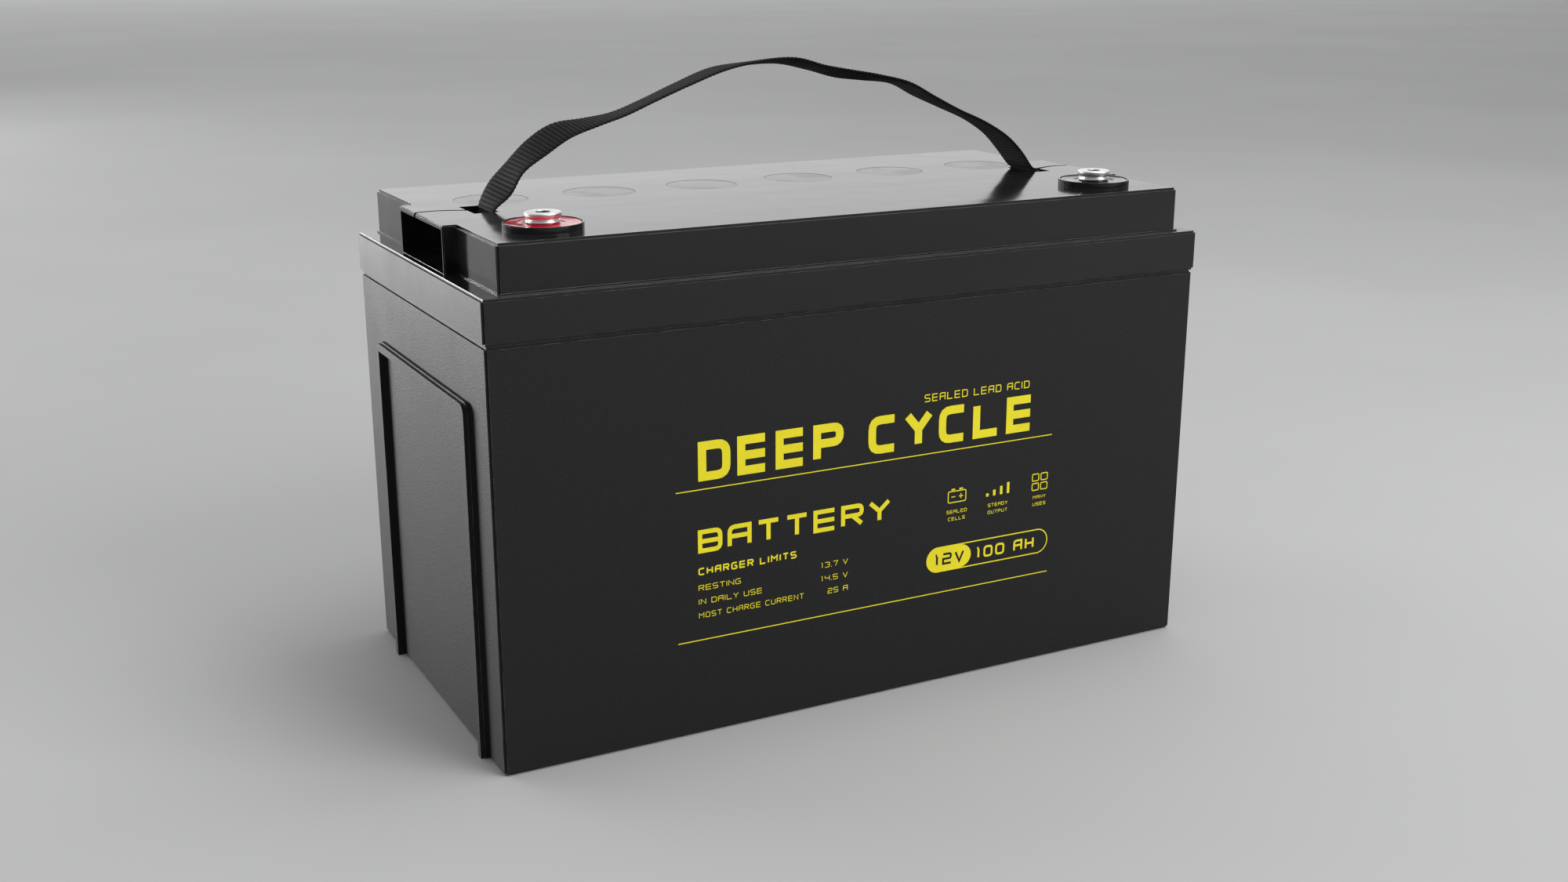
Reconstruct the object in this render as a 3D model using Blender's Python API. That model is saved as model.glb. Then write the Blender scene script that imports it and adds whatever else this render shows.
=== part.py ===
"""Deep cycle battery: a sealed lead-acid block with a glossy lid and a webbing carry strap.

Frame, in metres: origin at the bottom centre, +X along the long side, +Y to the back, +Z up.
The front is the long face at -Y, and the positive terminal stands at -X.
"""
import math

import bmesh
import bpy
from mathutils import Vector

# Driving dimensions.
BAND_LENGTH = 0.330
BAND_WIDTH = 0.171
BAND_BOTTOM = 0.1715
SHOULDER_TOP = 0.189
TURRET_LENGTH = 0.3135
TURRET_WIDTH = 0.1607
TURRET_TOP = 0.208
CELLS = 6

# Walls, fits and roundings.
FIT_GAP = 0.0003
CASE_INSET = 0.0006
CASE_WALL = 0.006
CASE_FLOOR = 0.004
LID_WALL = 0.003
PARTITION = 0.0024
EDGE_ROUND = 0.001
OVERLAP = 0.002
MERGE = 0.000001

# How finely round shapes are cut, and the angle above which an edge on them stays sharp.
WIDE_SEGMENTS = 32
ROUND_SEGMENTS = 24
WALL_SEGMENTS = 20
SMALL_SEGMENTS = 16
SHARP_ANGLE = 35
CORNER_STEPS = 4
SLIT_STEPS = 8

# End ribs: an upside-down U on each end wall, seen along X as (y, z).
RIB_FRONT = -0.0652
RIB_BACK = 0.0560
RIB_TOP = 0.1454
RIB_WIDTH = 0.0034
RIB_CORNER = 0.004
RIB_PROUD = 0.0033
RIB_STEP_PROUD = 0.0017
RIB_STEP = 0.0006

# Strap pockets, measured outwards from the centre along X, and mirrored to the other end.
TUNNEL_END = 0.1617
TUNNEL_Y = (-0.0314, 0.0275)
MOUTH_Y = (-0.0301, 0.0251)
MOUTH_INNER = 0.1400
WELL_INNER = 0.1245
WELL_Y = (-0.020, 0.0132)
POCKET_FLOOR = 0.1892
MOUTH_ROOF = 0.2062
WELL_ROOF = 0.2044
POCKET_WALL = 0.0018
SLOT_X = (0.1306, 0.1410)
SLOT_Y = (-0.0080, 0.0125)
SLIT_WIDTH = 0.002
SLIT_ROUTE = ((0.1635, 0.0040), (0.1540, 0.0100), (0.1400, 0.0015))

# Vents, one over each cell.
VENT_PITCH = 0.049
VENT_Y = 0.0268
VENT_RADIUS = 0.0157
VENT_DEPTH = 0.0018
VENT_WELL_RADIUS = 0.011
VENT_WELL_FLOOR = 0.196
CHIMNEY_TOP = 0.202
CHIMNEY_RADII = (0.0026, 0.0042)
CAP_THICK = 0.0022
CAP_ROUND = 0.001
CAP_CLEARANCE = 0.001

# Terminals.
TERMINAL_X = 0.1295
TERMINAL_Y = -0.0557
BOSS_RADIUS = 0.0156
BOSS_TOP = 0.2108
POOL_RADIUS = 0.0148
POOL_FLOOR = 0.206
POOL_SEAT = 0.2035
BUSHING_RADIUS = 0.0082
INSERT_TOP = 0.21455
INSERT_LIP = 0.2123
INSERT_RADIUS = 0.00715
INSERT_CHAMFER = 0.0004
INSERT_DRAFT = 0.001
COLLAR_RADIUS = 0.0066
COLLAR_TOP = 0.2114
INSERT_NECK = 0.0056
INSERT_BOTTOM = 0.199
INSERT_FLANGE_RADIUS = 0.0105
INSERT_FLANGE = 0.0015
SCREW_RADIUS = 0.0025
SCREW_BOTTOM = 0.2025
POST_RADIUS = 0.006
O_RING_SIDES = 6

# Plates of one cell, stacked along X.
POSITIVE_PLATES = 4
POSITIVE_THICK = 0.0038
NEGATIVE_THICK = 0.0027
MAT_THICK = 0.0012
PLATE_HALF_WIDTH = 0.0735
PLATE_BOTTOM = 0.0060
PLATE_TOP = 0.1480
LUG_WIDTH = 0.012
BAR_BOTTOM = 0.1560
BAR_TOP = 0.1630
BAR_HALF_LENGTH = 0.0229
CONNECTOR_HEIGHT = 0.1590
CONNECTOR_RADIUS = 0.0042
CONNECTOR_SIDES = 24

# Carry strap: its arch as (x, z) points, its two straight ends and the bars that hold them.
STRAP_WIDTH = 0.0193
STRAP_THICK = 0.0016
STRAP_Y = 0.0025
STRAP_END_X = 0.1326
STRAP_END_TOP = 0.209
SWING_HEIGHT = 0.219
ARCH_ROUTE = (
    (-0.1235, 0.2193), (-0.1198, 0.2238), (-0.1097, 0.2317), (-0.0991, 0.2377),
    (-0.0860, 0.2406), (-0.0734, 0.2434), (-0.0598, 0.2484), (-0.0450, 0.2541),
    (-0.0279, 0.2600), (-0.0125, 0.2622), (0.0050, 0.2627), (0.0201, 0.2593),
    (0.0343, 0.2561), (0.0473, 0.2541), (0.0630, 0.2512), (0.0758, 0.2450),
    (0.0897, 0.2387), (0.1040, 0.2326), (0.1158, 0.2256), (0.1226, 0.2193),
)
ARCH_STEPS = 2
ANCHOR_X = (0.1251, 0.1436)
ANCHOR_Y = (-0.0140, 0.0125)
ANCHOR_HEIGHT = 0.004

# Worked out from the driving dimensions.
CASE_X = BAND_LENGTH / 2 - CASE_INSET
CASE_Y = BAND_WIDTH / 2 - CASE_INSET
INNER_X = CASE_X - CASE_WALL
INNER_Y = CASE_Y - CASE_WALL
SKIRT_X = BAND_LENGTH / 2 - LID_WALL
SKIRT_Y = BAND_WIDTH / 2 - LID_WALL
RIM_TOP = SHOULDER_TOP - LID_WALL - FIT_GAP
CELL_PITCH = 2 * INNER_X / CELLS
PARTITIONS = [(index - CELLS / 2) * CELL_PITCH for index in range(1, CELLS)]
CELL_CENTRES = [(index + 0.5 - CELLS / 2) * CELL_PITCH for index in range(CELLS)]
VENT_CENTRES = [(index + 0.5 - CELLS / 2) * VENT_PITCH for index in range(CELLS)]


def clear_scene():
    """Removes every object that the scene starts with."""
    for item in list(bpy.data.objects):
        bpy.data.objects.remove(item, do_unlink=True)


def finish(name, colour, roughness, metallic=0.0):
    """A Principled material with one colour, roughness and metallic value."""
    material = bpy.data.materials.new(name)
    material.use_nodes = True
    shader = material.node_tree.nodes["Principled BSDF"]
    shader.inputs["Base Color"].default_value = (*colour, 1.0)
    shader.inputs["Roughness"].default_value = roughness
    shader.inputs["Metallic"].default_value = metallic
    return material


def add_object(name, shape, material=None, origin=(0.0, 0.0, 0.0)):
    """Turns a bmesh into an object whose origin is at the given point. No material: a cutter."""
    bmesh.ops.recalc_face_normals(shape, faces=shape.faces[:])
    bmesh.ops.translate(shape, verts=shape.verts[:], vec=-Vector(origin))
    mesh = bpy.data.meshes.new(name)
    shape.to_mesh(mesh)
    shape.free()
    item = bpy.data.objects.new(name, mesh)
    item.location = origin
    bpy.context.scene.collection.objects.link(item)
    if material is None:
        item.hide_render = True
        item.display_type = "WIRE"
    else:
        mesh.materials.append(material)
    return item


def block(low, high, rounding=0.0, segments=2, shape=None):
    """A box from its low corner to its high corner, with all of its edges rounded."""
    shape = shape or bmesh.new()
    corners = bmesh.ops.create_cube(shape, size=1.0)["verts"]
    low = Vector(low)
    high = Vector(high)
    for corner in corners:
        share = corner.co + Vector((0.5, 0.5, 0.5))
        corner.co = low + Vector(a * b for a, b in zip(share, high - low))
    if rounding:
        edges = list({edge for corner in corners for edge in corner.link_edges})
        bmesh.ops.bevel(shape, geom=edges, offset=rounding, segments=segments, affect="EDGES")
    return shape


def mirrored_block(side, low, high, rounding=0.0, shape=None):
    """A box given for the +X end, moved to the -X end where side is -1."""
    ends = sorted((side * low[0], side * high[0]))
    return block((ends[0], *low[1:]), (ends[1], *high[1:]), rounding, shape=shape)


def prism(outline, start, end, place):
    """An outline of flat points carried straight from start to end. place puts them in space."""
    shape = bmesh.new()
    corners = [shape.verts.new(place(a, b, start)) for a, b in outline]
    face = shape.faces.new(corners)
    grown = bmesh.ops.extrude_face_region(shape, geom=[face])["geom"]
    moved = [part for part in grown if isinstance(part, bmesh.types.BMVert)]
    shift = Vector(place(0.0, 0.0, end)) - Vector(place(0.0, 0.0, start))
    bmesh.ops.translate(shape, verts=moved, vec=shift)
    return shape


def turned(profile, centre, segments, closed=False, shape=None):
    """A profile of (radius, height) points turned about the vertical through centre.

    An open profile starts and ends on that vertical, and its two flat ends become single faces.
    """
    shape = shape or bmesh.new()
    points = [shape.verts.new((centre[0] + r, centre[1], z)) for r, z in profile]
    pairs = list(zip(points, points[1:]))
    if closed:
        pairs.append((points[-1], points[0]))
    edges = [shape.edges.new(pair) for pair in pairs]
    bmesh.ops.spin(shape, geom=points + edges, cent=(centre[0], centre[1], 0.0),
                   axis=(0.0, 0.0, 1.0), angle=2 * math.pi, steps=segments, use_merge=True)
    bmesh.ops.remove_doubles(shape, verts=shape.verts[:], dist=MERGE)
    on_axis = [vert for vert in shape.verts
               if math.dist(vert.co[:2], centre) < MERGE and len(vert.link_faces) > 4]
    bmesh.ops.dissolve_verts(shape, verts=on_axis)
    return shape


def combine(target, operand, operation):
    """Joins an operand to a target, or cuts it away, with a Boolean modifier."""
    modifier = target.modifiers.new(operand.name, "BOOLEAN")
    modifier.operation = operation
    modifier.solver = "EXACT"
    modifier.object = operand


def smooth_round(item):
    """Shades a round piece smooth, with its sharp edges kept."""
    item.data.shade_smooth()
    item.data.set_sharp_from_angle(angle=math.radians(SHARP_ANGLE))


def along_x(a, b, depth):
    """Flat points (y, z), carried along X."""
    return depth, a, b


def along_y(a, b, depth):
    """Flat points (x, z), carried along Y."""
    return a, depth, b


def along_z(a, b, depth):
    """Flat points (x, y), carried along Z."""
    return a, b, depth


def arc(centre, radius, start, end, steps):
    """Points on a circle from one angle to another, in degrees."""
    angles = [math.radians(start + (end - start) * step / steps) for step in range(steps + 1)]
    return [(centre[0] + radius * math.cos(a), centre[1] + radius * math.sin(a)) for a in angles]


def ring(centre, radius, sides):
    """A whole circle with this many sides."""
    return arc(centre, radius, 0, 360 - 360 / sides, sides - 1)


def rib_outline(grow):
    """The upside-down U of an end rib, with its outside edge moved out by grow."""
    front = RIB_FRONT - grow
    back = RIB_BACK + grow
    top = RIB_TOP + grow
    reach = RIB_CORNER
    outline = [(back, 0.0)]
    outline += arc((back - reach, top - reach), reach, 0, 90, CORNER_STEPS)
    outline += arc((front + reach, top - reach), reach, 90, 180, CORNER_STEPS)
    outline += [(front, 0.0), (RIB_FRONT + RIB_WIDTH, 0.0)]
    outline += [(RIB_FRONT + RIB_WIDTH, RIB_TOP - RIB_WIDTH)]
    outline += [(RIB_BACK - RIB_WIDTH, RIB_TOP - RIB_WIDTH), (RIB_BACK - RIB_WIDTH, 0.0)]
    return outline


def connector_y(index):
    """Where the connector through a partition crosses: back, front, back and so on."""
    return -TERMINAL_Y if index % 2 == 0 else TERMINAL_Y


def make_case(plastic):
    """The open case with its rim, partitions, connector holes and end ribs."""
    case = add_object("container", block((-CASE_X, -CASE_Y, 0.0),
                                         (CASE_X, CASE_Y, BAND_BOTTOM - FIT_GAP),
                                         EDGE_ROUND), plastic)
    rim_x = SKIRT_X - FIT_GAP
    rim_y = SKIRT_Y - FIT_GAP
    rim = add_object("case_rim", block((-rim_x, -rim_y, BAND_BOTTOM - 5 * OVERLAP),
                                           (rim_x, rim_y, RIM_TOP)))
    combine(case, rim, "UNION")
    for side in (-1, 1):
        for grow, proud in ((RIB_STEP, RIB_STEP_PROUD), (0.0, RIB_PROUD)):
            start = side * (CASE_X - OVERLAP)
            end = side * (CASE_X + proud)
            rib = add_object("end_rib", prism(rib_outline(grow), start, end, along_x))
            combine(case, rib, "UNION")
    cells = bmesh.new()
    lows = [-INNER_X] + [place + PARTITION / 2 for place in PARTITIONS]
    highs = [place - PARTITION / 2 for place in PARTITIONS] + [INNER_X]
    for low, high in zip(lows, highs):
        block((low, -INNER_Y, CASE_FLOOR), (high, INNER_Y, RIM_TOP + OVERLAP), shape=cells)
    combine(case, add_object("cells", cells), "DIFFERENCE")
    for index, place in enumerate(PARTITIONS):
        hole = ring((connector_y(index), CONNECTOR_HEIGHT), CONNECTOR_RADIUS + FIT_GAP,
                    CONNECTOR_SIDES)
        cutter = prism(hole, place - OVERLAP, place + OVERLAP, along_x)
        combine(case, add_object("connector_hole", cutter), "DIFFERENCE")
    return case


def lid_outside(gloss):
    """The lid before it is hollowed: band, turret, its foot bead, strap tunnels and bosses."""
    half_x = BAND_LENGTH / 2
    half_y = BAND_WIDTH / 2
    turret_x = TURRET_LENGTH / 2
    turret_y = TURRET_WIDTH / 2
    bead = CASE_INSET
    root = SHOULDER_TOP - OVERLAP
    lid = add_object("lid", block((-half_x, -half_y, BAND_BOTTOM),
                                  (half_x, half_y, SHOULDER_TOP), EDGE_ROUND), gloss)
    turret = block((-turret_x, -turret_y, root - OVERLAP), (turret_x, turret_y, TURRET_TOP),
                   EDGE_ROUND)
    foot = block((-turret_x - bead, -turret_y - bead, root),
                 (turret_x + bead, turret_y + bead, SHOULDER_TOP + bead))
    tunnels = bmesh.new()
    bosses = bmesh.new()
    for side in (-1, 1):
        mirrored_block(side, (turret_x - 3 * OVERLAP, TUNNEL_Y[0], root + OVERLAP / 2),
                       (TUNNEL_END, TUNNEL_Y[1], TURRET_TOP), EDGE_ROUND / 2, shape=tunnels)
        turned([(0.0, BOSS_TOP), (BOSS_RADIUS, BOSS_TOP), (BOSS_RADIUS, TURRET_TOP - OVERLAP),
                (0.0, TURRET_TOP - OVERLAP)], (side * TERMINAL_X, TERMINAL_Y), WIDE_SEGMENTS, shape=bosses)
    for name, shape in (("turret", turret), ("turret_foot", foot), ("tunnels", tunnels),
                        ("bosses", bosses)):
        combine(lid, add_object(name, shape), "UNION")
    return lid


def lid_hollow():
    """The space under the lid, with the pocket, vent, terminal and sealing walls left standing."""
    inside_x = TURRET_LENGTH / 2 - LID_WALL
    inside_y = TURRET_WIDTH / 2 - LID_WALL
    deck = TURRET_TOP - LID_WALL
    above = deck + OVERLAP
    below = POCKET_FLOOR - POCKET_WALL
    hollow = add_object("under_lid", block((-SKIRT_X, -SKIRT_Y, BAND_BOTTOM - OVERLAP),
                                           (SKIRT_X, SKIRT_Y, SHOULDER_TOP - LID_WALL)))
    upper = block((-inside_x, -inside_y, BAND_BOTTOM), (inside_x, inside_y, deck))
    combine(hollow, add_object("under_turret", upper), "UNION")
    mouths = bmesh.new()
    wells = bmesh.new()
    tubes = bmesh.new()
    seals = bmesh.new()
    for side in (-1, 1):
        mirrored_block(side, (MOUTH_INNER - POCKET_WALL, MOUTH_Y[0] - POCKET_WALL, below),
                       (inside_x + OVERLAP, MOUTH_Y[1] + POCKET_WALL, above), shape=mouths)
        mirrored_block(side, (WELL_INNER - POCKET_WALL, WELL_Y[0] - POCKET_WALL, below),
                       (MOUTH_INNER, WELL_Y[1] + POCKET_WALL, above), shape=wells)
        turned([(0.0, above), (BOSS_RADIUS + POCKET_WALL, above),
                (BOSS_RADIUS + POCKET_WALL, POOL_SEAT), (0.0, POOL_SEAT)],
               (side * TERMINAL_X, TERMINAL_Y), ROUND_SEGMENTS, shape=tubes)
    for centre in VENT_CENTRES:
        wall = VENT_WELL_RADIUS + POCKET_WALL
        floor = VENT_WELL_FLOOR - POCKET_WALL
        turned([(0.0, above), (wall, above), (wall, floor), (0.0, floor)],
               (centre, VENT_Y), WALL_SEGMENTS, shape=tubes)
    for place in PARTITIONS:
        block((place - PARTITION / 2, -inside_y - OVERLAP, RIM_TOP + 2 * FIT_GAP),
              (place + PARTITION / 2, inside_y + OVERLAP, above), shape=seals)
    for name, shape in (("mouth_walls", mouths), ("well_walls", wells), ("tube_walls", tubes),
                        ("seal_walls", seals)):
        combine(hollow, add_object(name, shape), "DIFFERENCE")
    return hollow


def slit_outline(side):
    """The curved slit that lets the strap be threaded in: a bow-shaped band, seen from above."""
    start, middle, end = SLIT_ROUTE
    inner = []
    outer = []
    for step in range(SLIT_STEPS + 1):
        t = step / SLIT_STEPS
        x = (1 - t) ** 2 * start[0] + 2 * t * (1 - t) * middle[0] + t * t * end[0]
        y = (1 - t) ** 2 * start[1] + 2 * t * (1 - t) * middle[1] + t * t * end[1]
        along = Vector(((1 - t) * (middle[0] - start[0]) + t * (end[0] - middle[0]),
                        (1 - t) * (middle[1] - start[1]) + t * (end[1] - middle[1])))
        across = Vector((-along.y, along.x)).normalized() * SLIT_WIDTH / 2
        inner.append((side * (x + across.x), y + across.y))
        outer.append((side * (x - across.x), y - across.y))
    return inner + outer[::-1]


def make_lid(gloss):
    """The lid: hollow below, with pockets, slots, slits, vent wells and terminal wells."""
    lid = lid_outside(gloss)
    combine(lid, lid_hollow(), "DIFFERENCE")
    above = TURRET_TOP + OVERLAP
    mouths = bmesh.new()
    wells = bmesh.new()
    slots = bmesh.new()
    rounds = bmesh.new()
    for side in (-1, 1):
        mirrored_block(side, (MOUTH_INNER, MOUTH_Y[0], POCKET_FLOOR),
                       (TUNNEL_END + OVERLAP, MOUTH_Y[1], MOUTH_ROOF), shape=mouths)
        mirrored_block(side, (WELL_INNER, WELL_Y[0], POCKET_FLOOR),
                       (MOUTH_INNER + OVERLAP, WELL_Y[1], WELL_ROOF), shape=wells)
        mirrored_block(side, (SLOT_X[0], SLOT_Y[0], WELL_ROOF - OVERLAP),
                       (SLOT_X[1], SLOT_Y[1], above), shape=slots)
        turned([(0.0, BOSS_TOP + OVERLAP), (POOL_RADIUS, BOSS_TOP + OVERLAP),
                (POOL_RADIUS, POOL_FLOOR), (BUSHING_RADIUS, POOL_FLOOR),
                (BUSHING_RADIUS, POOL_SEAT - OVERLAP), (0.0, POOL_SEAT - OVERLAP)],
               (side * TERMINAL_X, TERMINAL_Y), WIDE_SEGMENTS, shape=rounds)
    bore, chimney = CHIMNEY_RADII
    ledge = TURRET_TOP - VENT_DEPTH
    pipe_end = VENT_WELL_FLOOR - 2 * OVERLAP
    for centre in VENT_CENTRES:
        turned([(0.0, above), (VENT_RADIUS, above), (VENT_RADIUS, ledge),
                (VENT_WELL_RADIUS, ledge), (VENT_WELL_RADIUS, VENT_WELL_FLOOR),
                (chimney, VENT_WELL_FLOOR), (chimney, CHIMNEY_TOP), (bore, CHIMNEY_TOP),
                (bore, pipe_end), (0.0, pipe_end)], (centre, VENT_Y), ROUND_SEGMENTS, shape=rounds)
    for name, shape in (("mouths", mouths), ("wells", wells), ("slots", slots),
                        ("rounds", rounds)):
        combine(lid, add_object(name, shape), "DIFFERENCE")
    for side in (-1, 1):
        slit = prism(slit_outline(side), MOUTH_ROOF - OVERLAP, above, along_z)
        combine(lid, add_object("slit", slit), "DIFFERENCE")
    return lid


def make_vents(gloss, rubber):
    """A flush round cover over each vent well, and the rubber valve cap on its chimney."""
    ledge = TURRET_TOP - VENT_DEPTH
    radius = VENT_RADIUS - FIT_GAP
    sleeve = CHIMNEY_RADII[1] + FIT_GAP
    cap_radius = sleeve + CAP_THICK
    cap_top = ledge - CAP_CLEARANCE
    cap_bottom = VENT_WELL_FLOOR + FIT_GAP
    for number, centre in enumerate(VENT_CENTRES, start=1):
        cover = turned([(0.0, TURRET_TOP), (radius, TURRET_TOP), (radius, ledge + FIT_GAP),
                        (0.0, ledge + FIT_GAP)], (centre, VENT_Y), WIDE_SEGMENTS)
        smooth_round(add_object(f"vent_cover_{number}", cover, gloss))
        cap = turned([(0.0, cap_top), (cap_radius - CAP_ROUND, cap_top),
                      (cap_radius, cap_top - CAP_ROUND), (cap_radius, cap_bottom),
                      (sleeve, cap_bottom), (sleeve, CHIMNEY_TOP + FIT_GAP),
                      (0.0, CHIMNEY_TOP + FIT_GAP)], (centre, VENT_Y), SMALL_SEGMENTS)
        smooth_round(add_object(f"valve_cap_{number}", cap, rubber))


def make_terminal(side, label, metal, resin, rubber, lead):
    """One terminal: threaded insert, resin seal, O-ring and the lead post below."""
    centre = (side * TERMINAL_X, TERMINAL_Y)
    seat = POOL_FLOOR + FIT_GAP
    flange_top = seat + INSERT_FLANGE
    insert = turned([(0.0, SCREW_BOTTOM), (SCREW_RADIUS, SCREW_BOTTOM), (SCREW_RADIUS, INSERT_TOP),
                     (INSERT_RADIUS - INSERT_CHAMFER, INSERT_TOP),
                     (INSERT_RADIUS, INSERT_TOP - INSERT_CHAMFER),
                     (INSERT_RADIUS - INSERT_DRAFT, INSERT_LIP), (INSERT_NECK, INSERT_LIP),
                     (INSERT_NECK, COLLAR_TOP), (COLLAR_RADIUS, COLLAR_TOP),
                     (COLLAR_RADIUS, BOSS_TOP), (INSERT_NECK, BOSS_TOP),
                     (INSERT_NECK, flange_top), (INSERT_FLANGE_RADIUS, flange_top),
                     (INSERT_FLANGE_RADIUS, seat), (INSERT_NECK, seat),
                     (INSERT_NECK, INSERT_BOTTOM), (0.0, INSERT_BOTTOM)], centre, ROUND_SEGMENTS)
    smooth_round(add_object(f"terminal_insert_{label}", insert, metal))
    inside = INSERT_NECK + FIT_GAP
    outside = POOL_RADIUS - FIT_GAP
    step = INSERT_FLANGE_RADIUS + FIT_GAP
    top = BOSS_TOP - FIT_GAP
    seal = turned([(inside, top), (outside, top), (outside, seat), (step, seat),
                   (step, flange_top + FIT_GAP), (inside, flange_top + FIT_GAP)],
                  centre, ROUND_SEGMENTS, closed=True)
    smooth_round(add_object(f"terminal_seal_{label}", seal, resin))
    thick = (BUSHING_RADIUS - INSERT_NECK) / 2 - FIT_GAP
    middle = (BUSHING_RADIUS + INSERT_NECK) / 2
    height = (POOL_SEAT + POOL_FLOOR) / 2
    o_ring = turned(ring((middle, height), thick, O_RING_SIDES), centre, SMALL_SEGMENTS, closed=True)
    smooth_round(add_object(f"terminal_o_ring_{label}", o_ring, rubber))
    post = turned([(0.0, INSERT_BOTTOM - FIT_GAP), (POST_RADIUS, INSERT_BOTTOM - FIT_GAP),
                   (POST_RADIUS, BAR_TOP + FIT_GAP), (0.0, BAR_TOP + FIT_GAP)], centre, WALL_SEGMENTS)
    smooth_round(add_object(f"terminal_post_{label}", post, lead))


def plate_places():
    """The middle of each plate of a cell along X, and its thickness, from a negative to a negative."""
    places = []
    spacing = MAT_THICK + 2 * FIT_GAP
    count = 2 * POSITIVE_PLATES + 1
    total = POSITIVE_PLATES * POSITIVE_THICK + (POSITIVE_PLATES + 1) * NEGATIVE_THICK
    place = -(total + (count - 1) * spacing) / 2
    for index in range(count):
        thick = POSITIVE_THICK if index % 2 else NEGATIVE_THICK
        places.append((place + thick / 2, thick))
        place += thick + spacing
    return places


def comb_outline(centre, plates):
    """A lead bar with a lug down into each plate, seen along Y."""
    dip = PLATE_TOP - OVERLAP
    outline = [(centre - BAR_HALF_LENGTH, BAR_TOP), (centre - BAR_HALF_LENGTH, BAR_BOTTOM)]
    for place, thick in plates:
        half = thick / 2 - FIT_GAP
        low = centre + place - half
        high = centre + place + half
        outline += [(low, BAR_BOTTOM), (low, dip), (high, dip), (high, BAR_BOTTOM)]
    return outline + [(centre + BAR_HALF_LENGTH, BAR_BOTTOM), (centre + BAR_HALF_LENGTH, BAR_TOP)]


def make_plate_group(name, centre, plates, lug_y, material):
    """The plates of one polarity in a cell, cast to one lead bar."""
    shape = bmesh.new()
    for place, thick in plates:
        block((centre + place - thick / 2, -PLATE_HALF_WIDTH, PLATE_BOTTOM),
              (centre + place + thick / 2, PLATE_HALF_WIDTH, PLATE_TOP), shape=shape)
    group = add_object(name, shape, material)
    comb = prism(comb_outline(centre, plates), lug_y - LUG_WIDTH / 2, lug_y + LUG_WIDTH / 2,
                 along_y)
    combine(group, add_object("comb", comb), "UNION")


def mat_outline(centre, places):
    """The glass mat of a cell, seen from above: one band that winds between all the plates."""
    half = MAT_THICK / 2
    inner = PLATE_HALF_WIDTH + FIT_GAP
    outer = inner + MAT_THICK
    middles = []
    for (left, left_thick), (right, right_thick) in zip(places, places[1:]):
        middles.append(centre + (left + left_thick / 2 + right - right_thick / 2) / 2)
    left_side = [(middles[0] - half, -PLATE_HALF_WIDTH)]
    right_side = [(middles[0] + half, -PLATE_HALF_WIDTH)]
    for index, (here, after) in enumerate(zip(middles, middles[1:])):
        if index % 2 == 0:
            left_side += [(here - half, outer), (after + half, outer)]
            right_side += [(here + half, inner), (after - half, inner)]
        else:
            left_side += [(here + half, -inner), (after - half, -inner)]
            right_side += [(here - half, -outer), (after + half, -outer)]
    left_side.append((middles[-1] + half, -PLATE_HALF_WIDTH))
    right_side.append((middles[-1] - half, -PLATE_HALF_WIDTH))
    return left_side + right_side[::-1]


def make_cells(lead, paste, sponge, glass):
    """The plate groups and glass mat of each cell, and the connectors between the cells."""
    places = plate_places()
    for number, centre in enumerate(CELL_CENTRES, start=1):
        front = number % 2 == 1
        positive_y = TERMINAL_Y if front else -TERMINAL_Y
        make_plate_group(f"positive_plates_{number}", centre, places[1::2], positive_y, paste)
        make_plate_group(f"negative_plates_{number}", centre, places[0::2], -positive_y, sponge)
        mat = prism(mat_outline(centre, places), PLATE_BOTTOM, PLATE_TOP - OVERLAP, along_z)
        add_object(f"glass_mat_{number}", mat, glass)
    reach = CELL_PITCH / 2 - BAR_HALF_LENGTH - FIT_GAP
    for number, place in enumerate(PARTITIONS, start=1):
        round_bar = ring((connector_y(number - 1), CONNECTOR_HEIGHT), CONNECTOR_RADIUS,
                         CONNECTOR_SIDES)
        bar = prism(round_bar, place - reach, place + reach, along_x)
        add_object(f"cell_connector_{number}", bar, lead)


def spline(points, steps):
    """A smooth line through the points, with this many steps between each two (Catmull-Rom)."""
    padded = [Vector(p) for p in (points[0], *points, points[-1])]
    line = []
    for a, b, c, d in zip(padded, padded[1:], padded[2:], padded[3:]):
        for step in range(steps):
            t = step / steps
            line.append(0.5 * (2 * b + (c - a) * t + (2 * a - 5 * b + 4 * c - d) * t * t
                               + (3 * b - a - 3 * c + d) * t ** 3))
    return line + [padded[-1]]


def ribbon_outline(line, thick):
    """The closed outline of a band of this thickness along a flat line."""
    upper = []
    lower = []
    for index, point in enumerate(line):
        before = line[max(index - 1, 0)]
        after = line[min(index + 1, len(line) - 1)]
        along = (after - before).normalized()
        across = Vector((-along.y, along.x)) * thick / 2
        upper.append(tuple(point + across))
        lower.append(tuple(point - across))
    return upper + lower[::-1]


def make_strap(webbing, nylon):
    """The strap's arch on its swing axis, and the two ends on their bars in the pockets."""
    edges = (STRAP_Y - STRAP_WIDTH / 2, STRAP_Y + STRAP_WIDTH / 2)
    outline = ribbon_outline(spline(ARCH_ROUTE, ARCH_STEPS), STRAP_THICK)
    add_object("carry_strap", prism(outline, *edges, along_y), webbing,
               (0.0, STRAP_Y, SWING_HEIGHT))
    bar_low = POCKET_FLOOR + FIT_GAP
    bar_high = bar_low + ANCHOR_HEIGHT
    for side, label in ((-1, "left"), (1, "right")):
        origin = (side * STRAP_END_X, STRAP_Y, POCKET_FLOOR)
        end = mirrored_block(side, (STRAP_END_X - STRAP_THICK / 2, edges[0], bar_high + FIT_GAP),
                             (STRAP_END_X + STRAP_THICK / 2, edges[1], STRAP_END_TOP))
        add_object(f"strap_end_{label}", end, webbing, origin)
        bar = mirrored_block(side, (ANCHOR_X[0], ANCHOR_Y[0], bar_low),
                             (ANCHOR_X[1], ANCHOR_Y[1], bar_high), EDGE_ROUND)
        add_object(f"strap_anchor_{label}", bar, nylon, origin)


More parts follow.
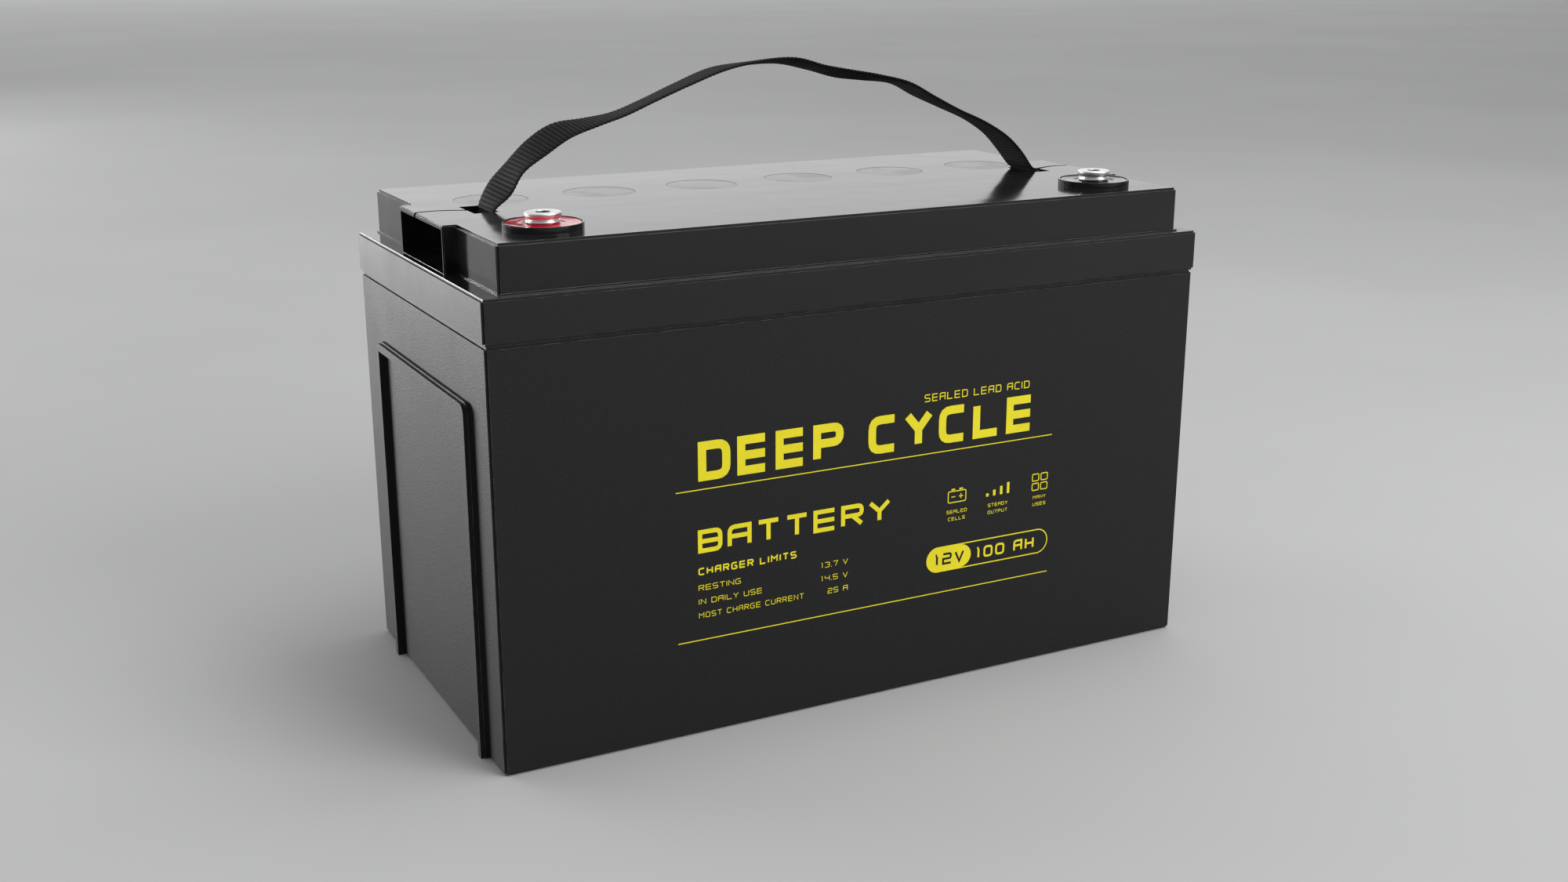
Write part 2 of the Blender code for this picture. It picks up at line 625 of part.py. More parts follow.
def build():
    """Makes the whole battery."""
    clear_scene()
    case_plastic = finish("case_plastic", (0.022, 0.022, 0.023), 0.45)
    lid_plastic = finish("lid_plastic", (0.012, 0.012, 0.013), 0.12)
    rubber = finish("black_rubber", (0.02, 0.02, 0.02), 0.7)
    tinned = finish("tinned_brass", (0.72, 0.72, 0.7), 0.22, 1.0)
    red_resin = finish("red_resin", (0.55, 0.02, 0.02), 0.25)
    black_resin = finish("black_resin", (0.02, 0.02, 0.02), 0.25)
    lead = finish("grey_lead", (0.28, 0.29, 0.31), 0.5, 0.9)
    paste = finish("lead_oxide", (0.12, 0.06, 0.04), 0.85)
    sponge = finish("sponge_lead", (0.3, 0.31, 0.33), 0.7, 0.4)
    glass = finish("glass_mat", (0.85, 0.85, 0.83), 0.95)
    webbing = finish("black_webbing", (0.02, 0.02, 0.021), 0.8)
    nylon = finish("black_nylon", (0.03, 0.03, 0.03), 0.5)
    make_case(case_plastic)
    make_lid(lid_plastic)
    make_vents(lid_plastic, rubber)
    make_terminal(-1, "positive", tinned, red_resin, rubber, lead)
    make_terminal(1, "negative", tinned, black_resin, rubber, lead)
    make_cells(lead, paste, sponge, glass)
    make_strap(webbing, nylon)


build()
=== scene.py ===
"""A 12 volt deep cycle battery: moulded case, gloss lid, brass inserts, webbing carry strap and print."""
import math

import bmesh
import bpy
import numpy as np
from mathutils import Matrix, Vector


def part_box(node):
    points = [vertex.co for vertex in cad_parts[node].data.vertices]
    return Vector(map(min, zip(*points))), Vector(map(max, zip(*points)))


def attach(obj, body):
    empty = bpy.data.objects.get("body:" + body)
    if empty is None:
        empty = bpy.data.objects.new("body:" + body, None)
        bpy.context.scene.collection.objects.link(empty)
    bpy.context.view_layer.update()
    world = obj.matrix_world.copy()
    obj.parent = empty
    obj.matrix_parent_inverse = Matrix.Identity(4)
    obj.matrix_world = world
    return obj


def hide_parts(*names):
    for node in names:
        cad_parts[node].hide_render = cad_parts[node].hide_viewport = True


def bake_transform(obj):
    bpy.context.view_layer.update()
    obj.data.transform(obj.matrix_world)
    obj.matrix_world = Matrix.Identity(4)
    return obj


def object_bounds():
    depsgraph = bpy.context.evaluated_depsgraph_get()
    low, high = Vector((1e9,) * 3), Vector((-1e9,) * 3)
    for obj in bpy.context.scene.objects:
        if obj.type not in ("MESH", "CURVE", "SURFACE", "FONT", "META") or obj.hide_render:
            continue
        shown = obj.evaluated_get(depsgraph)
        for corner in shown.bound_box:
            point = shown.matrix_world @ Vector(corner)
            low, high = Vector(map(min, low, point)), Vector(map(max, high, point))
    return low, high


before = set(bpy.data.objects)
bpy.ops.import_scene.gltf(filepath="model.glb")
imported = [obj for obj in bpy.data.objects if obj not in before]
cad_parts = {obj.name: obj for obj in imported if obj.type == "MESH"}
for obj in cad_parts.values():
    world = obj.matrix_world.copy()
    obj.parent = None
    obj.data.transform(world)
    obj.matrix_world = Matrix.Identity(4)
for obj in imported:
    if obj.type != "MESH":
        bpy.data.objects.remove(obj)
CAD_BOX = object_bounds()

# Sizes of the case and lid that the loose pieces sit on, in metres.
CASE_FACE_Y = -0.0849
BAND_BOTTOM = 0.1715
SHOULDER_TOP = 0.189
FIT = 0.0003

# Centre lines of the two terminals (X is mirrored), and the heights of their resin and inserts.
TERMINAL_X = 0.1295
TERMINAL_Y = -0.0557
SEAL_SEAT = 0.2063
INSERT_FLANGE_TOP = 0.2078
SEAL_TOP = 0.2105
HOLE_RADIUS = 0.0026

# The camera stands in front and to the left, looking down a little (metres, degrees, millimetres).
CAMERA_PLACE = (-0.35497, -0.67796, 0.31451)
CAMERA_TILT = 16.193
CAMERA_TURN = 27.836
CAMERA_LENS = 39.93
CAMERA_SENSOR = 36.0

# Segments in each curve that rounds a corner, and round a turned terminal piece.
CURVE_STEPS = 4
TERMINAL_SEGMENTS = 128
COVER_SEGMENTS = 96


# ---------------------------------------------------------------- mesh helpers

def grid_faces(rows, columns, wrap_rows=False, wrap_columns=False):
    """Quads between neighbouring points of a rows x columns grid, joined round where a side wraps."""
    row = np.arange(rows if wrap_rows else rows - 1)
    column = np.arange(columns if wrap_columns else columns - 1)
    i, j = (a.ravel() for a in np.meshgrid(row, column, indexing="ij"))
    below = (i + 1) % rows
    right = (j + 1) % columns
    return np.stack([i * columns + j, i * columns + right,
                     below * columns + right, below * columns + j], axis=1)


def mesh_object(name, points, faces, material, merge=0.0):
    """One object at the origin from an array of points and its faces, with its normals facing outwards."""
    mesh = bpy.data.meshes.new(name)
    mesh.from_pydata(points.reshape(-1, 3), [], faces)
    item = bpy.data.objects.new(name, mesh)
    bpy.context.scene.collection.objects.link(item)
    shape = bmesh.new()
    shape.from_mesh(mesh)
    if merge:
        bmesh.ops.remove_doubles(shape, verts=shape.verts, dist=merge)
    bmesh.ops.recalc_face_normals(shape, faces=shape.faces)
    shape.to_mesh(mesh)
    shape.free()
    mesh.materials.append(material)
    return item


def shade_by_area(mesh):
    """Corner normals are the area-weighted mean of the faces round each vertex, so flats stay flat."""
    faces = len(mesh.polygons)
    corners = len(mesh.loops)
    normal = np.empty(faces * 3)
    area = np.empty(faces)
    size = np.empty(faces, dtype=np.int32)
    vertex = np.empty(corners, dtype=np.int32)
    mesh.polygons.foreach_get("normal", normal)
    mesh.polygons.foreach_get("area", area)
    mesh.polygons.foreach_get("loop_total", size)
    mesh.loops.foreach_get("vertex_index", vertex)
    weighted = normal.reshape(-1, 3) * area[:, None]
    total = np.zeros((len(mesh.vertices), 3))
    np.add.at(total, vertex, np.repeat(weighted, size, axis=0))
    total /= np.maximum(np.linalg.norm(total, axis=1), 1e-20)[:, None]
    mesh.polygons.foreach_set("use_smooth", np.ones(faces, dtype=bool))
    mesh.normals_split_custom_set_from_vertices(total)


def rounded_line(corners, radius, closed=False):
    """A flat line with each inner corner swapped for a curve; a corner may bring its own radius third.

    A corner B becomes the quadratic (1-t)^2 P + 2t(1-t) B + t^2 Q, where P and Q lie the radius away
    from B along its two sides, or 0.48 of the shorter side where that is less.
    """
    places = [np.array(p[:2], dtype=float) for p in corners]
    radii = [p[2] if len(p) > 2 else radius for p in corners]
    count = len(places)
    t = np.linspace(0.0, 1.0, CURVE_STEPS + 1)[:, None]
    out = []
    for index in range(count):
        here = places[index]
        if not closed and index in (0, count - 1):
            out.append(here[None])
            continue
        to_last = places[index - 1] - here
        to_next = places[(index + 1) % count] - here
        reach = min(radii[index], np.linalg.norm(to_last) * 0.48, np.linalg.norm(to_next) * 0.48)
        if reach <= 0.0:
            out.append(here[None])
            continue
        start = here + to_last / np.linalg.norm(to_last) * reach
        end = here + to_next / np.linalg.norm(to_next) * reach
        out.append((1 - t) ** 2 * start + 2 * t * (1 - t) * here + t ** 2 * end)
    return np.concatenate(out)


def turned(name, profile, centre, material, segments, closed=False, thread=None):
    """A turned piece: the profile (r, z) carried round the upright line through the centre.

    x = cx + r cos a, y = cy + r sin a, z as the profile. A thread (low, high, pitch, depth, widest)
    adds depth times a triangle wave of z / pitch - a / 2 pi to every radius under the widest that lies
    between the two heights.
    """
    angle = np.linspace(0.0, 2 * np.pi, segments, endpoint=False)[None, :]
    radius = np.repeat(profile[:, :1], segments, axis=1)
    height = np.repeat(profile[:, 1:2], segments, axis=1)
    if thread:
        low, high, pitch, depth, widest = thread
        wave = np.abs(((height / pitch - angle / (2 * np.pi)) % 1.0) * 2 - 1)
        inside = (height > low) & (height < high) & (radius < widest) & (radius > 0.0)
        radius = radius + depth * wave * inside
    points = np.stack([centre[0] + radius * np.cos(angle), centre[1] + radius * np.sin(angle),
                       height], axis=-1)
    faces = grid_faces(len(profile), segments, wrap_rows=closed, wrap_columns=True)
    item = mesh_object(name, points, faces, material, merge=1e-7)
    shade_by_area(item.data)
    return item


# Angles in degrees: flatter edges are dissolved, sharper ones are rounded.
FLAT_ANGLE = 0.5
SHARP_ANGLE = 28.0


def rounded_copy(node, name, material, radius):
    """A CAD node's own shape with its sharp edges rounded.

    A face mask named edge is 1 on the roundings that stand out and 0 everywhere else.
    """
    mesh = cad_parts[node].data.copy()
    shape = bmesh.new()
    shape.from_mesh(mesh)
    bmesh.ops.remove_doubles(shape, verts=shape.verts, dist=1e-6)
    bmesh.ops.dissolve_limit(shape, angle_limit=math.radians(FLAT_ANGLE), verts=shape.verts,
                             edges=shape.edges)
    mask = shape.faces.layers.float.new("edge")
    sharp = [e for e in shape.edges
             if len(e.link_faces) == 2 and e.calc_face_angle() > math.radians(SHARP_ANGLE)]
    rounding = bmesh.ops.bevel(shape, geom=sharp, offset=radius, segments=2, profile=0.5,
                               affect="EDGES", clamp_overlap=True)
    for face in rounding["faces"]:
        face[mask] = float(sum(e.calc_face_angle_signed(0.0) for e in face.edges) > 0.0)
    for old in list(shape.loops.layers.uv.values()):
        shape.loops.layers.uv.remove(old)
    out = bpy.data.meshes.new(name)
    shape.to_mesh(out)
    shape.free()
    for left in ("custom_normal", "sharp_edge", "sharp_face"):
        if left in out.attributes:
            out.attributes.remove(out.attributes[left])
    bpy.data.meshes.remove(mesh)
    item = bpy.data.objects.new(name, out)
    bpy.context.scene.collection.objects.link(item)
    out.materials.clear()
    out.materials.append(material)
    out.polygons.foreach_set("material_index", np.zeros(len(out.polygons), dtype=np.int32))
    shade_by_area(out)
    return item


# ---------------------------------------------------------------- shader groups

class Nodes:
    """Short ways to add and join nodes in one node tree."""

    def __init__(self, tree):
        """The tree that every node goes into."""
        self.tree = tree

    def add(self, kind, **values):
        """A new node of this kind with its settings."""
        node = self.tree.nodes.new(kind)
        for key, value in values.items():
            setattr(node, key, value)
        return node

    def link(self, source, target):
        """A link from an output to an input."""
        self.tree.links.new(source, target)

    def feed(self, socket, value):
        """A socket takes another node's output, or a plain number or colour."""
        if isinstance(value, bpy.types.NodeSocket):
            self.link(value, socket)
        else:
            socket.default_value = value

    def math(self, operation, *values, clamp=False):
        """One sum on its values, held between 0 and 1 if clamped."""
        node = self.add("ShaderNodeMath", operation=operation, use_clamp=clamp)
        for socket, value in zip(node.inputs, values):
            self.feed(socket, value)
        return node.outputs[0]

    def noise(self, place, scale, detail=2.0, rough=0.5):
        """Noise from 0 to 1 over the places."""
        node = self.add("ShaderNodeTexNoise")
        self.link(place, node.inputs["Vector"])
        self.feed(node.inputs["Scale"], scale)
        node.inputs["Detail"].default_value = detail
        node.inputs["Roughness"].default_value = rough
        return node.outputs["Fac"]

    def span(self, value, low, high, to_low=0.0, to_high=1.0):
        """The value eased from one range to another, flat beyond both ends."""
        node = self.add("ShaderNodeMapRange", interpolation_type="SMOOTHSTEP")
        self.feed(node.inputs["Value"], value)
        for key, number in (("From Min", low), ("From Max", high), ("To Min", to_low),
                            ("To Max", to_high)):
            self.feed(node.inputs[key], number)
        return node.outputs["Result"]

    def mix(self, mask, first, second):
        """Two colours mixed by a mask; the colour sockets of this node are 6 and 7 in and 2 out."""
        node = self.add("ShaderNodeMix", data_type="RGBA")
        self.feed(node.inputs[0], mask)
        self.feed(node.inputs[6], first)
        self.feed(node.inputs[7], second)
        return node.outputs[2]

    def stretched(self, source, scale):
        """Places scaled along each axis."""
        node = self.add("ShaderNodeMapping")
        self.link(source, node.inputs["Vector"])
        node.inputs["Scale"].default_value = scale
        return node.outputs["Vector"]


def new_group(name, inputs, outputs):
    """An empty shader group with number inputs (name: value) and number outputs."""
    tree = bpy.data.node_groups.new(name, "ShaderNodeTree")
    for key, value in inputs.items():
        socket = tree.interface.new_socket(key, in_out="INPUT", socket_type="NodeSocketFloat")
        socket.default_value = value
    for key in outputs:
        tree.interface.new_socket(key, in_out="OUTPUT", socket_type="NodeSocketFloat")
    n = Nodes(tree)
    return tree, n, n.add("NodeGroupInput"), n.add("NodeGroupOutput")


def make_moulded_grain():
    """Fine spark-eroded grain: two sizes of noise for the height, and a slow cloud for the finish."""
    tree, n, given, out = new_group("moulded grain", {"Grain Scale": 2600.0, "Cloud Scale": 22.0},
                                    ("Height", "Speckle", "Cloud"))
    place = n.add("ShaderNodeTexCoord").outputs["Object"]
    fine = n.noise(place, given.outputs["Grain Scale"], detail=3.0, rough=0.6)
    coarse = n.noise(place, n.math("MULTIPLY", given.outputs["Grain Scale"], 0.45))
    height = n.math("ADD", n.math("MULTIPLY", fine, 0.4), n.math("MULTIPLY", coarse, 0.6))
    cloud = n.noise(place, given.outputs["Cloud Scale"], detail=4.0, rough=0.55)
    n.link(height, out.inputs["Height"])
    n.link(n.span(fine, 0.35, 0.68), out.inputs["Speckle"])
    n.link(n.span(cloud, 0.3, 0.72), out.inputs["Cloud"])
    return tree


def make_edge_wear_and_highlight():
    """A mask for edge wear and painted highlight on the rounded edges: the edge mask broken up by noise.
    """
    tree, n, given, out = new_group("edge wear and painted highlight", {"Breakup": 160.0, "Amount": 0.6}, ("Mask",))
    place = n.add("ShaderNodeTexCoord").outputs["Object"]
    edge = n.add("ShaderNodeAttribute", attribute_name="edge").outputs["Fac"]
    patches = n.span(n.noise(place, given.outputs["Breakup"], detail=4.0, rough=0.65), 0.36, 0.62)
    edge_wear_highlight = n.math("MULTIPLY", edge, patches)
    n.link(n.math("MULTIPLY", edge_wear_highlight, given.outputs["Amount"], clamp=True), out.inputs["Mask"])
    return tree


def make_settled_dust():
    """Dust on faces that look up: the normal's upward part times two noises."""
    tree, n, given, out = new_group("settled dust", {"Amount": 0.2, "Speck Scale": 900.0}, ("Mask",))
    place = n.add("ShaderNodeTexCoord").outputs["Object"]
    way = n.add("ShaderNodeSeparateXYZ")
    n.link(n.add("ShaderNodeNewGeometry").outputs["Normal"], way.inputs[0])
    upward = n.span(way.outputs["Z"], 0.5, 0.95)
    specks = n.span(n.noise(place, given.outputs["Speck Scale"]), 0.6, 0.8)
    drifts = n.span(n.noise(place, 14.0, detail=3.0), 0.35, 0.75)
    mixed = n.math("ADD", n.math("MULTIPLY", specks, 0.55), n.math("MULTIPLY", drifts, 0.45))
    laid = n.math("MULTIPLY", upward, mixed)
    n.link(n.math("MULTIPLY", laid, given.outputs["Amount"], clamp=True), out.inputs["Mask"])
    return tree


def make_wiped_gloss():
    """A polished face's slight unevenness: a slow ripple for the height and soft wipe streaks."""
    tree, n, given, out = new_group("wiped gloss", {"Ripple Scale": 45.0, "Streak Scale": 26.0},
                                    ("Height", "Streak"))
    place = n.add("ShaderNodeTexCoord").outputs["Object"]
    ripple = n.noise(place, given.outputs["Ripple Scale"], detail=1.0)
    streak = n.noise(n.stretched(place, (0.25, 2.2, 1.0)), given.outputs["Streak Scale"],
                     detail=5.0, rough=0.6)
    n.link(ripple, out.inputs["Height"])
    n.link(n.span(streak, 0.38, 0.7), out.inputs["Streak"])
    return tree


def make_turning_marks():
    """Fine lathe rings round a terminal: a wave of the distance from the terminal's centre line.

    Bore is the wall of the threaded hole and its chamfer, a mask for the painted shade there.
    """
    tree, n, given, out = new_group("turning marks", {"Ring Pitch": 0.00022},
                                    ("Height", "Streak", "Bore"))
    place = n.add("ShaderNodeTexCoord").outputs["Object"]
    part = n.add("ShaderNodeSeparateXYZ")
    n.link(place, part.inputs[0])
    along = n.math("SUBTRACT", n.math("ABSOLUTE", part.outputs["X"]), TERMINAL_X)
    across = n.math("SUBTRACT", part.outputs["Y"], TERMINAL_Y)
    distance = n.math("SQRT", n.math("ADD", n.math("MULTIPLY", along, along),
                                     n.math("MULTIPLY", across, across)))
    turns = n.math("DIVIDE", n.math("ADD", distance, part.outputs["Z"]), given.outputs["Ring Pitch"])
    wave = n.math("SINE", n.math("MULTIPLY", turns, 2 * math.pi))
    breakup = n.noise(place, 700.0, detail=3.0)
    n.link(n.math("MULTIPLY", wave, breakup), out.inputs["Height"])
    n.link(n.span(n.noise(place, 260.0, detail=4.0), 0.35, 0.7), out.inputs["Streak"])
    within = n.span(distance, HOLE_RADIUS + 0.0004, HOLE_RADIUS + 0.0005, 1.0, 0.0)
    bore = n.math("MULTIPLY", within, n.span(part.outputs["Z"], 0.2142, 0.2145, 1.0, 0.0))
    n.link(bore, out.inputs["Bore"])
    return tree


def make_woven_band():
    """Webbing yarns on the piece's own map (1 unit = 10 mm, U along the band, V across it).

    Warp yarns are a wave of V with each rib shifted by half a yarn; noise frays both.
    """
    tree, n, given, out = new_group("woven band", {"Yarn Pitch": 0.075, "Rib Pitch": 0.188},
                                    ("Height", "Yarn", "Crest", "Fade"))
    place = n.add("ShaderNodeUVMap", uv_map="band").outputs["UV"]
    part = n.add("ShaderNodeSeparateXYZ")
    n.link(place, part.inputs[0])
    fray = n.noise(n.stretched(place, (30.0, 30.0, 1.0)), 3.0, detail=3.0, rough=0.7)
    rib = n.math("DIVIDE", part.outputs["X"], given.outputs["Rib Pitch"])
    crest = n.math("ABSOLUTE", n.math("SINE", n.math("MULTIPLY", rib, math.pi)))
    shift = n.math("MULTIPLY", n.math("FLOOR", rib), 0.5)
    warp = n.math("ADD", n.math("DIVIDE", part.outputs["Y"], given.outputs["Yarn Pitch"]), shift)
    yarn = n.math("ABSOLUTE", n.math("SINE", n.math("MULTIPLY", warp, math.pi)))
    strands = n.math("ABSOLUTE", n.math("SINE", n.math("MULTIPLY", rib, 4 * math.pi)))
    height = n.math("ADD", n.math("MULTIPLY", yarn, 0.7), n.math("MULTIPLY", strands, 0.15))
    n.link(n.math("ADD", height, n.math("MULTIPLY", fray, 0.35)), out.inputs["Height"])
    n.link(n.math("MULTIPLY", yarn, n.span(fray, 0.2, 0.7, 0.55, 1.0)), out.inputs["Yarn"])
    n.link(n.span(crest, 0.25, 0.95), out.inputs["Crest"])
    n.link(n.span(n.noise(place, 1.1, detail=3.0), 0.3, 0.75), out.inputs["Fade"])
    return tree


# ---------------------------------------------------------------- materials

# Painted highlight: the rounded edges are painted far paler than the plastic, standing in for light caught
# on them.
EDGE_HIGHLIGHT_PLASTIC = (0.22, 0.22, 0.225, 1)


def new_material(name):
    """A node material with its Principled shader and a helper for its tree."""
    material = bpy.data.materials.new(name)
    material.use_nodes = True
    tree = material.node_tree
    shader = tree.nodes["Principled BSDF"]
    return material, Nodes(tree), shader


def use_group(n, tree, **values):
    """A placed group with its inputs set; an underscore stands for a space."""
    node = n.add("ShaderNodeGroup", node_tree=tree)
    for key, value in values.items():
        node.inputs[key.replace("_", " ")].default_value = value
    return node.outputs


def relief(n, shader, height, distance):
    """A bump of this depth in metres from a height output."""
    bump = n.add("ShaderNodeBump")
    bump.inputs["Strength"].default_value = 1.0
    bump.inputs["Distance"].default_value = distance
    n.link(height, bump.inputs["Height"])
    n.link(bump.outputs["Normal"], shader.inputs["Normal"])


def case_plastic(groups):
    """Charcoal polypropylene: grained walls, and a smoother, glossier band round the top."""
    material, n, shader = new_material("case plastic")
    grain = use_group(n, groups["grain"], Grain_Scale=2300.0, Cloud_Scale=18.0)
    edge_wear_highlight = use_group(n, groups["edge"], Breakup=140.0, Amount=0.5)["Mask"]
    dust = use_group(n, groups["dust"], Amount=0.16, Speck_Scale=1100.0)["Mask"]
    place = n.add("ShaderNodeSeparateXYZ")
    n.link(n.add("ShaderNodeTexCoord").outputs["Object"], place.inputs[0])
    band = n.span(place.outputs["Z"], BAND_BOTTOM - 0.0006, BAND_BOTTOM - 0.0002)
    colour = n.mix(grain["Speckle"], (0.0050, 0.0050, 0.0052, 1), (0.0095, 0.0095, 0.0098, 1))
    colour = n.mix(n.math("MULTIPLY", band, 0.5), colour, (0.0095, 0.0095, 0.0098, 1))
    # Painted highlight: the rounded edges are painted pale by the edge mask; their wear also lowers the
    # roughness below.
    colour = n.mix(edge_wear_highlight, colour, EDGE_HIGHLIGHT_PLASTIC)
    n.link(n.mix(dust, colour, (0.30, 0.29, 0.27, 1)), shader.inputs["Base Color"])
    rough = n.span(grain["Cloud"], 0.0, 1.0, 0.52, 0.58)
    rough = n.math("SUBTRACT", rough, n.math("MULTIPLY", band, 0.13))
    rough = n.math("SUBTRACT", rough, n.math("MULTIPLY", edge_wear_highlight, 0.12))
    n.link(n.math("ADD", rough, n.math("MULTIPLY", dust, 0.5), clamp=True), shader.inputs["Roughness"])
    shader.inputs["Specular IOR Level"].default_value = 0.3
    height = n.math("MULTIPLY", grain["Height"], n.span(band, 0.0, 1.0, 1.0, 0.35))
    relief(n, shader, height, 0.00015)
    return material


def lid_gloss(groups):
    """Polished black lid with faint ripple, wipe streaks and a trace of dust, and a grained band."""
    material, n, shader = new_material("lid gloss")
    grain = use_group(n, groups["grain"], Grain_Scale=3000.0, Cloud_Scale=20.0)
    place = n.add("ShaderNodeSeparateXYZ")
    n.link(n.add("ShaderNodeTexCoord").outputs["Object"], place.inputs[0])
    band = n.span(place.outputs["Z"], SHOULDER_TOP - 0.0004, SHOULDER_TOP - 0.0001, 1.0, 0.0)
    gloss = use_group(n, groups["gloss"], Ripple_Scale=38.0, Streak_Scale=24.0)
    edge_wear_highlight = use_group(n, groups["edge"], Breakup=120.0, Amount=0.55)["Mask"]
    dust = use_group(n, groups["dust"], Amount=0.05, Speck_Scale=1500.0)["Mask"]
    colour = n.mix(gloss["Streak"], (0.0060, 0.0060, 0.0065, 1), (0.0085, 0.0085, 0.0090, 1))
    # Painted highlight: the rounded edges are painted pale by the edge mask; their wear also lowers the
    # roughness below.
    colour = n.mix(edge_wear_highlight, colour, EDGE_HIGHLIGHT_PLASTIC)
    n.link(n.mix(dust, colour, (0.32, 0.31, 0.29, 1)), shader.inputs["Base Color"])
    rough = n.span(gloss["Streak"], 0.0, 1.0, 0.085, 0.13)
    satin = n.math("MULTIPLY", band, n.span(grain["Cloud"], 0.0, 1.0, 0.36, 0.42))
    rough = n.math("ADD", n.math("ADD", rough, satin), n.math("MULTIPLY", edge_wear_highlight, 0.12))
    n.link(n.math("ADD", rough, n.math("MULTIPLY", dust, 0.6), clamp=True), shader.inputs["Roughness"])
    shader.inputs["Specular IOR Level"].default_value = 0.33
    pitted = n.math("MULTIPLY", n.math("MULTIPLY", grain["Height"], band), 0.7)
    relief(n, shader, n.math("ADD", gloss["Height"], pitted), 0.00012)
    return material


def cover_gloss(groups):
    """The round vent covers: the lid's plastic from another mould, a little more satin."""
    material, n, shader = new_material("cover gloss")
    gloss = use_group(n, groups["gloss"], Ripple_Scale=90.0, Streak_Scale=60.0)
    grain = use_group(n, groups["grain"], Grain_Scale=3000.0, Cloud_Scale=60.0)
    n.link(n.mix(gloss["Streak"], (0.0085, 0.0085, 0.0090, 1), (0.0120, 0.0120, 0.0125, 1)),
           shader.inputs["Base Color"])
    n.link(n.span(grain["Cloud"], 0.0, 1.0, 0.15, 0.21), shader.inputs["Roughness"])
    shader.inputs["Specular IOR Level"].default_value = 0.33
    relief(n, shader, grain["Height"], 0.00001)
    return material


def turned_metal(groups):
    """Bright tinned brass with fine lathe rings, a few duller patches and painted shade inside the
    threaded hole.
    """
    material, n, shader = new_material("tinned brass")
    marks = use_group(n, groups["rings"], Ring_Pitch=0.00024)
    colour = n.mix(marks["Streak"], (0.93, 0.93, 0.92, 1), (0.82, 0.81, 0.80, 1))
    # Painted shade: the wall and chamfer of the threaded hole are painted near black.
    n.link(n.mix(marks["Bore"], colour, (0.05, 0.048, 0.045, 1)), shader.inputs["Base Color"])
    shader.inputs["Metallic"].default_value = 1.0
    n.link(n.span(marks["Streak"], 0.0, 1.0, 0.28, 0.38), shader.inputs["Roughness"])
    relief(n, shader, marks["Height"], 0.000002)
    return material


def resin(name, groups, deep, light):
    """Cast epoxy round a terminal: deep colour, slow swirls, a wet surface and a few pin bubbles."""
    material, n, shader = new_material(name)
    gloss = use_group(n, groups["gloss"], Ripple_Scale=240.0, Streak_Scale=150.0)
    grain = use_group(n, groups["grain"], Grain_Scale=1500.0, Cloud_Scale=160.0)
    pits = n.span(grain["Speckle"], 0.93, 1.0)
    colour = n.mix(grain["Cloud"], deep, light)
    n.link(n.mix(pits, colour, deep), shader.inputs["Base Color"])
    n.link(n.span(gloss["Streak"], 0.0, 1.0, 0.10, 0.20), shader.inputs["Roughness"])
    shader.inputs["Coat Weight"].default_value = 0.4
    shader.inputs["Coat Roughness"].default_value = 0.05
    relief(n, shader, gloss["Height"], 0.00004)
    return material


def webbing(groups):
    """Charcoal polypropylene webbing: ribbed yarns with a dry sheen, crests painted paler and valleys
    painted darker.
    """
    material, n, shader = new_material("strap webbing")
    weave = use_group(n, groups["weave"])
    # Painted highlight and shade: rib crests and yarn tops are painted paler, and the valleys between ribs
    # and yarns near black.
    crest_highlight_valley_shade = n.math("MULTIPLY", weave["Crest"], n.span(weave["Yarn"], 0.0, 1.0, 0.55, 1.0))
    colour = n.mix(crest_highlight_valley_shade, (0.0005, 0.0005, 0.0006, 1), (0.020, 0.020, 0.021, 1))
    n.link(n.mix(n.math("MULTIPLY", weave["Fade"], 0.2), colour, (0.016, 0.016, 0.017, 1)),
           shader.inputs["Base Color"])
    n.link(n.span(weave["Yarn"], 0.0, 1.0, 0.82, 0.62), shader.inputs["Roughness"])
    shader.inputs["Specular IOR Level"].default_value = 0.10
    relief(n, shader, weave["Height"], 0.00016)
    return material


def plain_moulded(name, groups, dark, pale, low, high, scale, depth, metallic=0.0):
    """A moulded or cast finish: speckled colour, clouded roughness and a grain of this depth."""
    material, n, shader = new_material(name)
    grain = use_group(n, groups["grain"], Grain_Scale=scale, Cloud_Scale=scale * 0.03)
    dust = use_group(n, groups["dust"], Amount=0.12, Speck_Scale=1200.0)["Mask"]
    shade = n.math("ADD", n.math("MULTIPLY", grain["Speckle"], 0.6),
                   n.math("MULTIPLY", grain["Cloud"], 0.4))
    colour = n.mix(shade, dark, pale)
    n.link(n.mix(dust, colour, (0.3, 0.29, 0.27, 1)), shader.inputs["Base Color"])
    n.link(n.span(grain["Cloud"], 0.0, 1.0, low, high), shader.inputs["Roughness"])
    shader.inputs["Metallic"].default_value = metallic
    relief(n, shader, grain["Height"], depth)
    return material


def print_ink(groups):
    """Yellow screen print: a thin, slightly uneven film with a soft sheen."""
    material, n, shader = new_material("yellow print")
    grain = use_group(n, groups["grain"], Grain_Scale=2600.0, Cloud_Scale=70.0)
    shade = n.math("ADD", n.math("MULTIPLY", grain["Cloud"], 0.6),
                   n.math("MULTIPLY", grain["Speckle"], 0.4))
    n.link(n.mix(shade, (0.82, 0.71, 0.004, 1), (0.92, 0.80, 0.008, 1)), shader.inputs["Base Color"])
    n.link(n.span(grain["Cloud"], 0.0, 1.0, 0.42, 0.56), shader.inputs["Roughness"])
    relief(n, shader, grain["Height"], 0.000015)
    return material


def floor_finish(groups):
    """A plain pale studio floor with the faintest mottling."""
    material, n, shader = new_material("studio floor")
    grain = use_group(n, groups["grain"], Grain_Scale=600.0, Cloud_Scale=1.5)
    n.link(n.mix(grain["Cloud"], (0.46, 0.46, 0.46, 1), (0.49, 0.49, 0.49, 1)),
           shader.inputs["Base Color"])
    shader.inputs["Roughness"].default_value = 0.8
    return material


# ---------------------------------------------------------------- terminals and vents

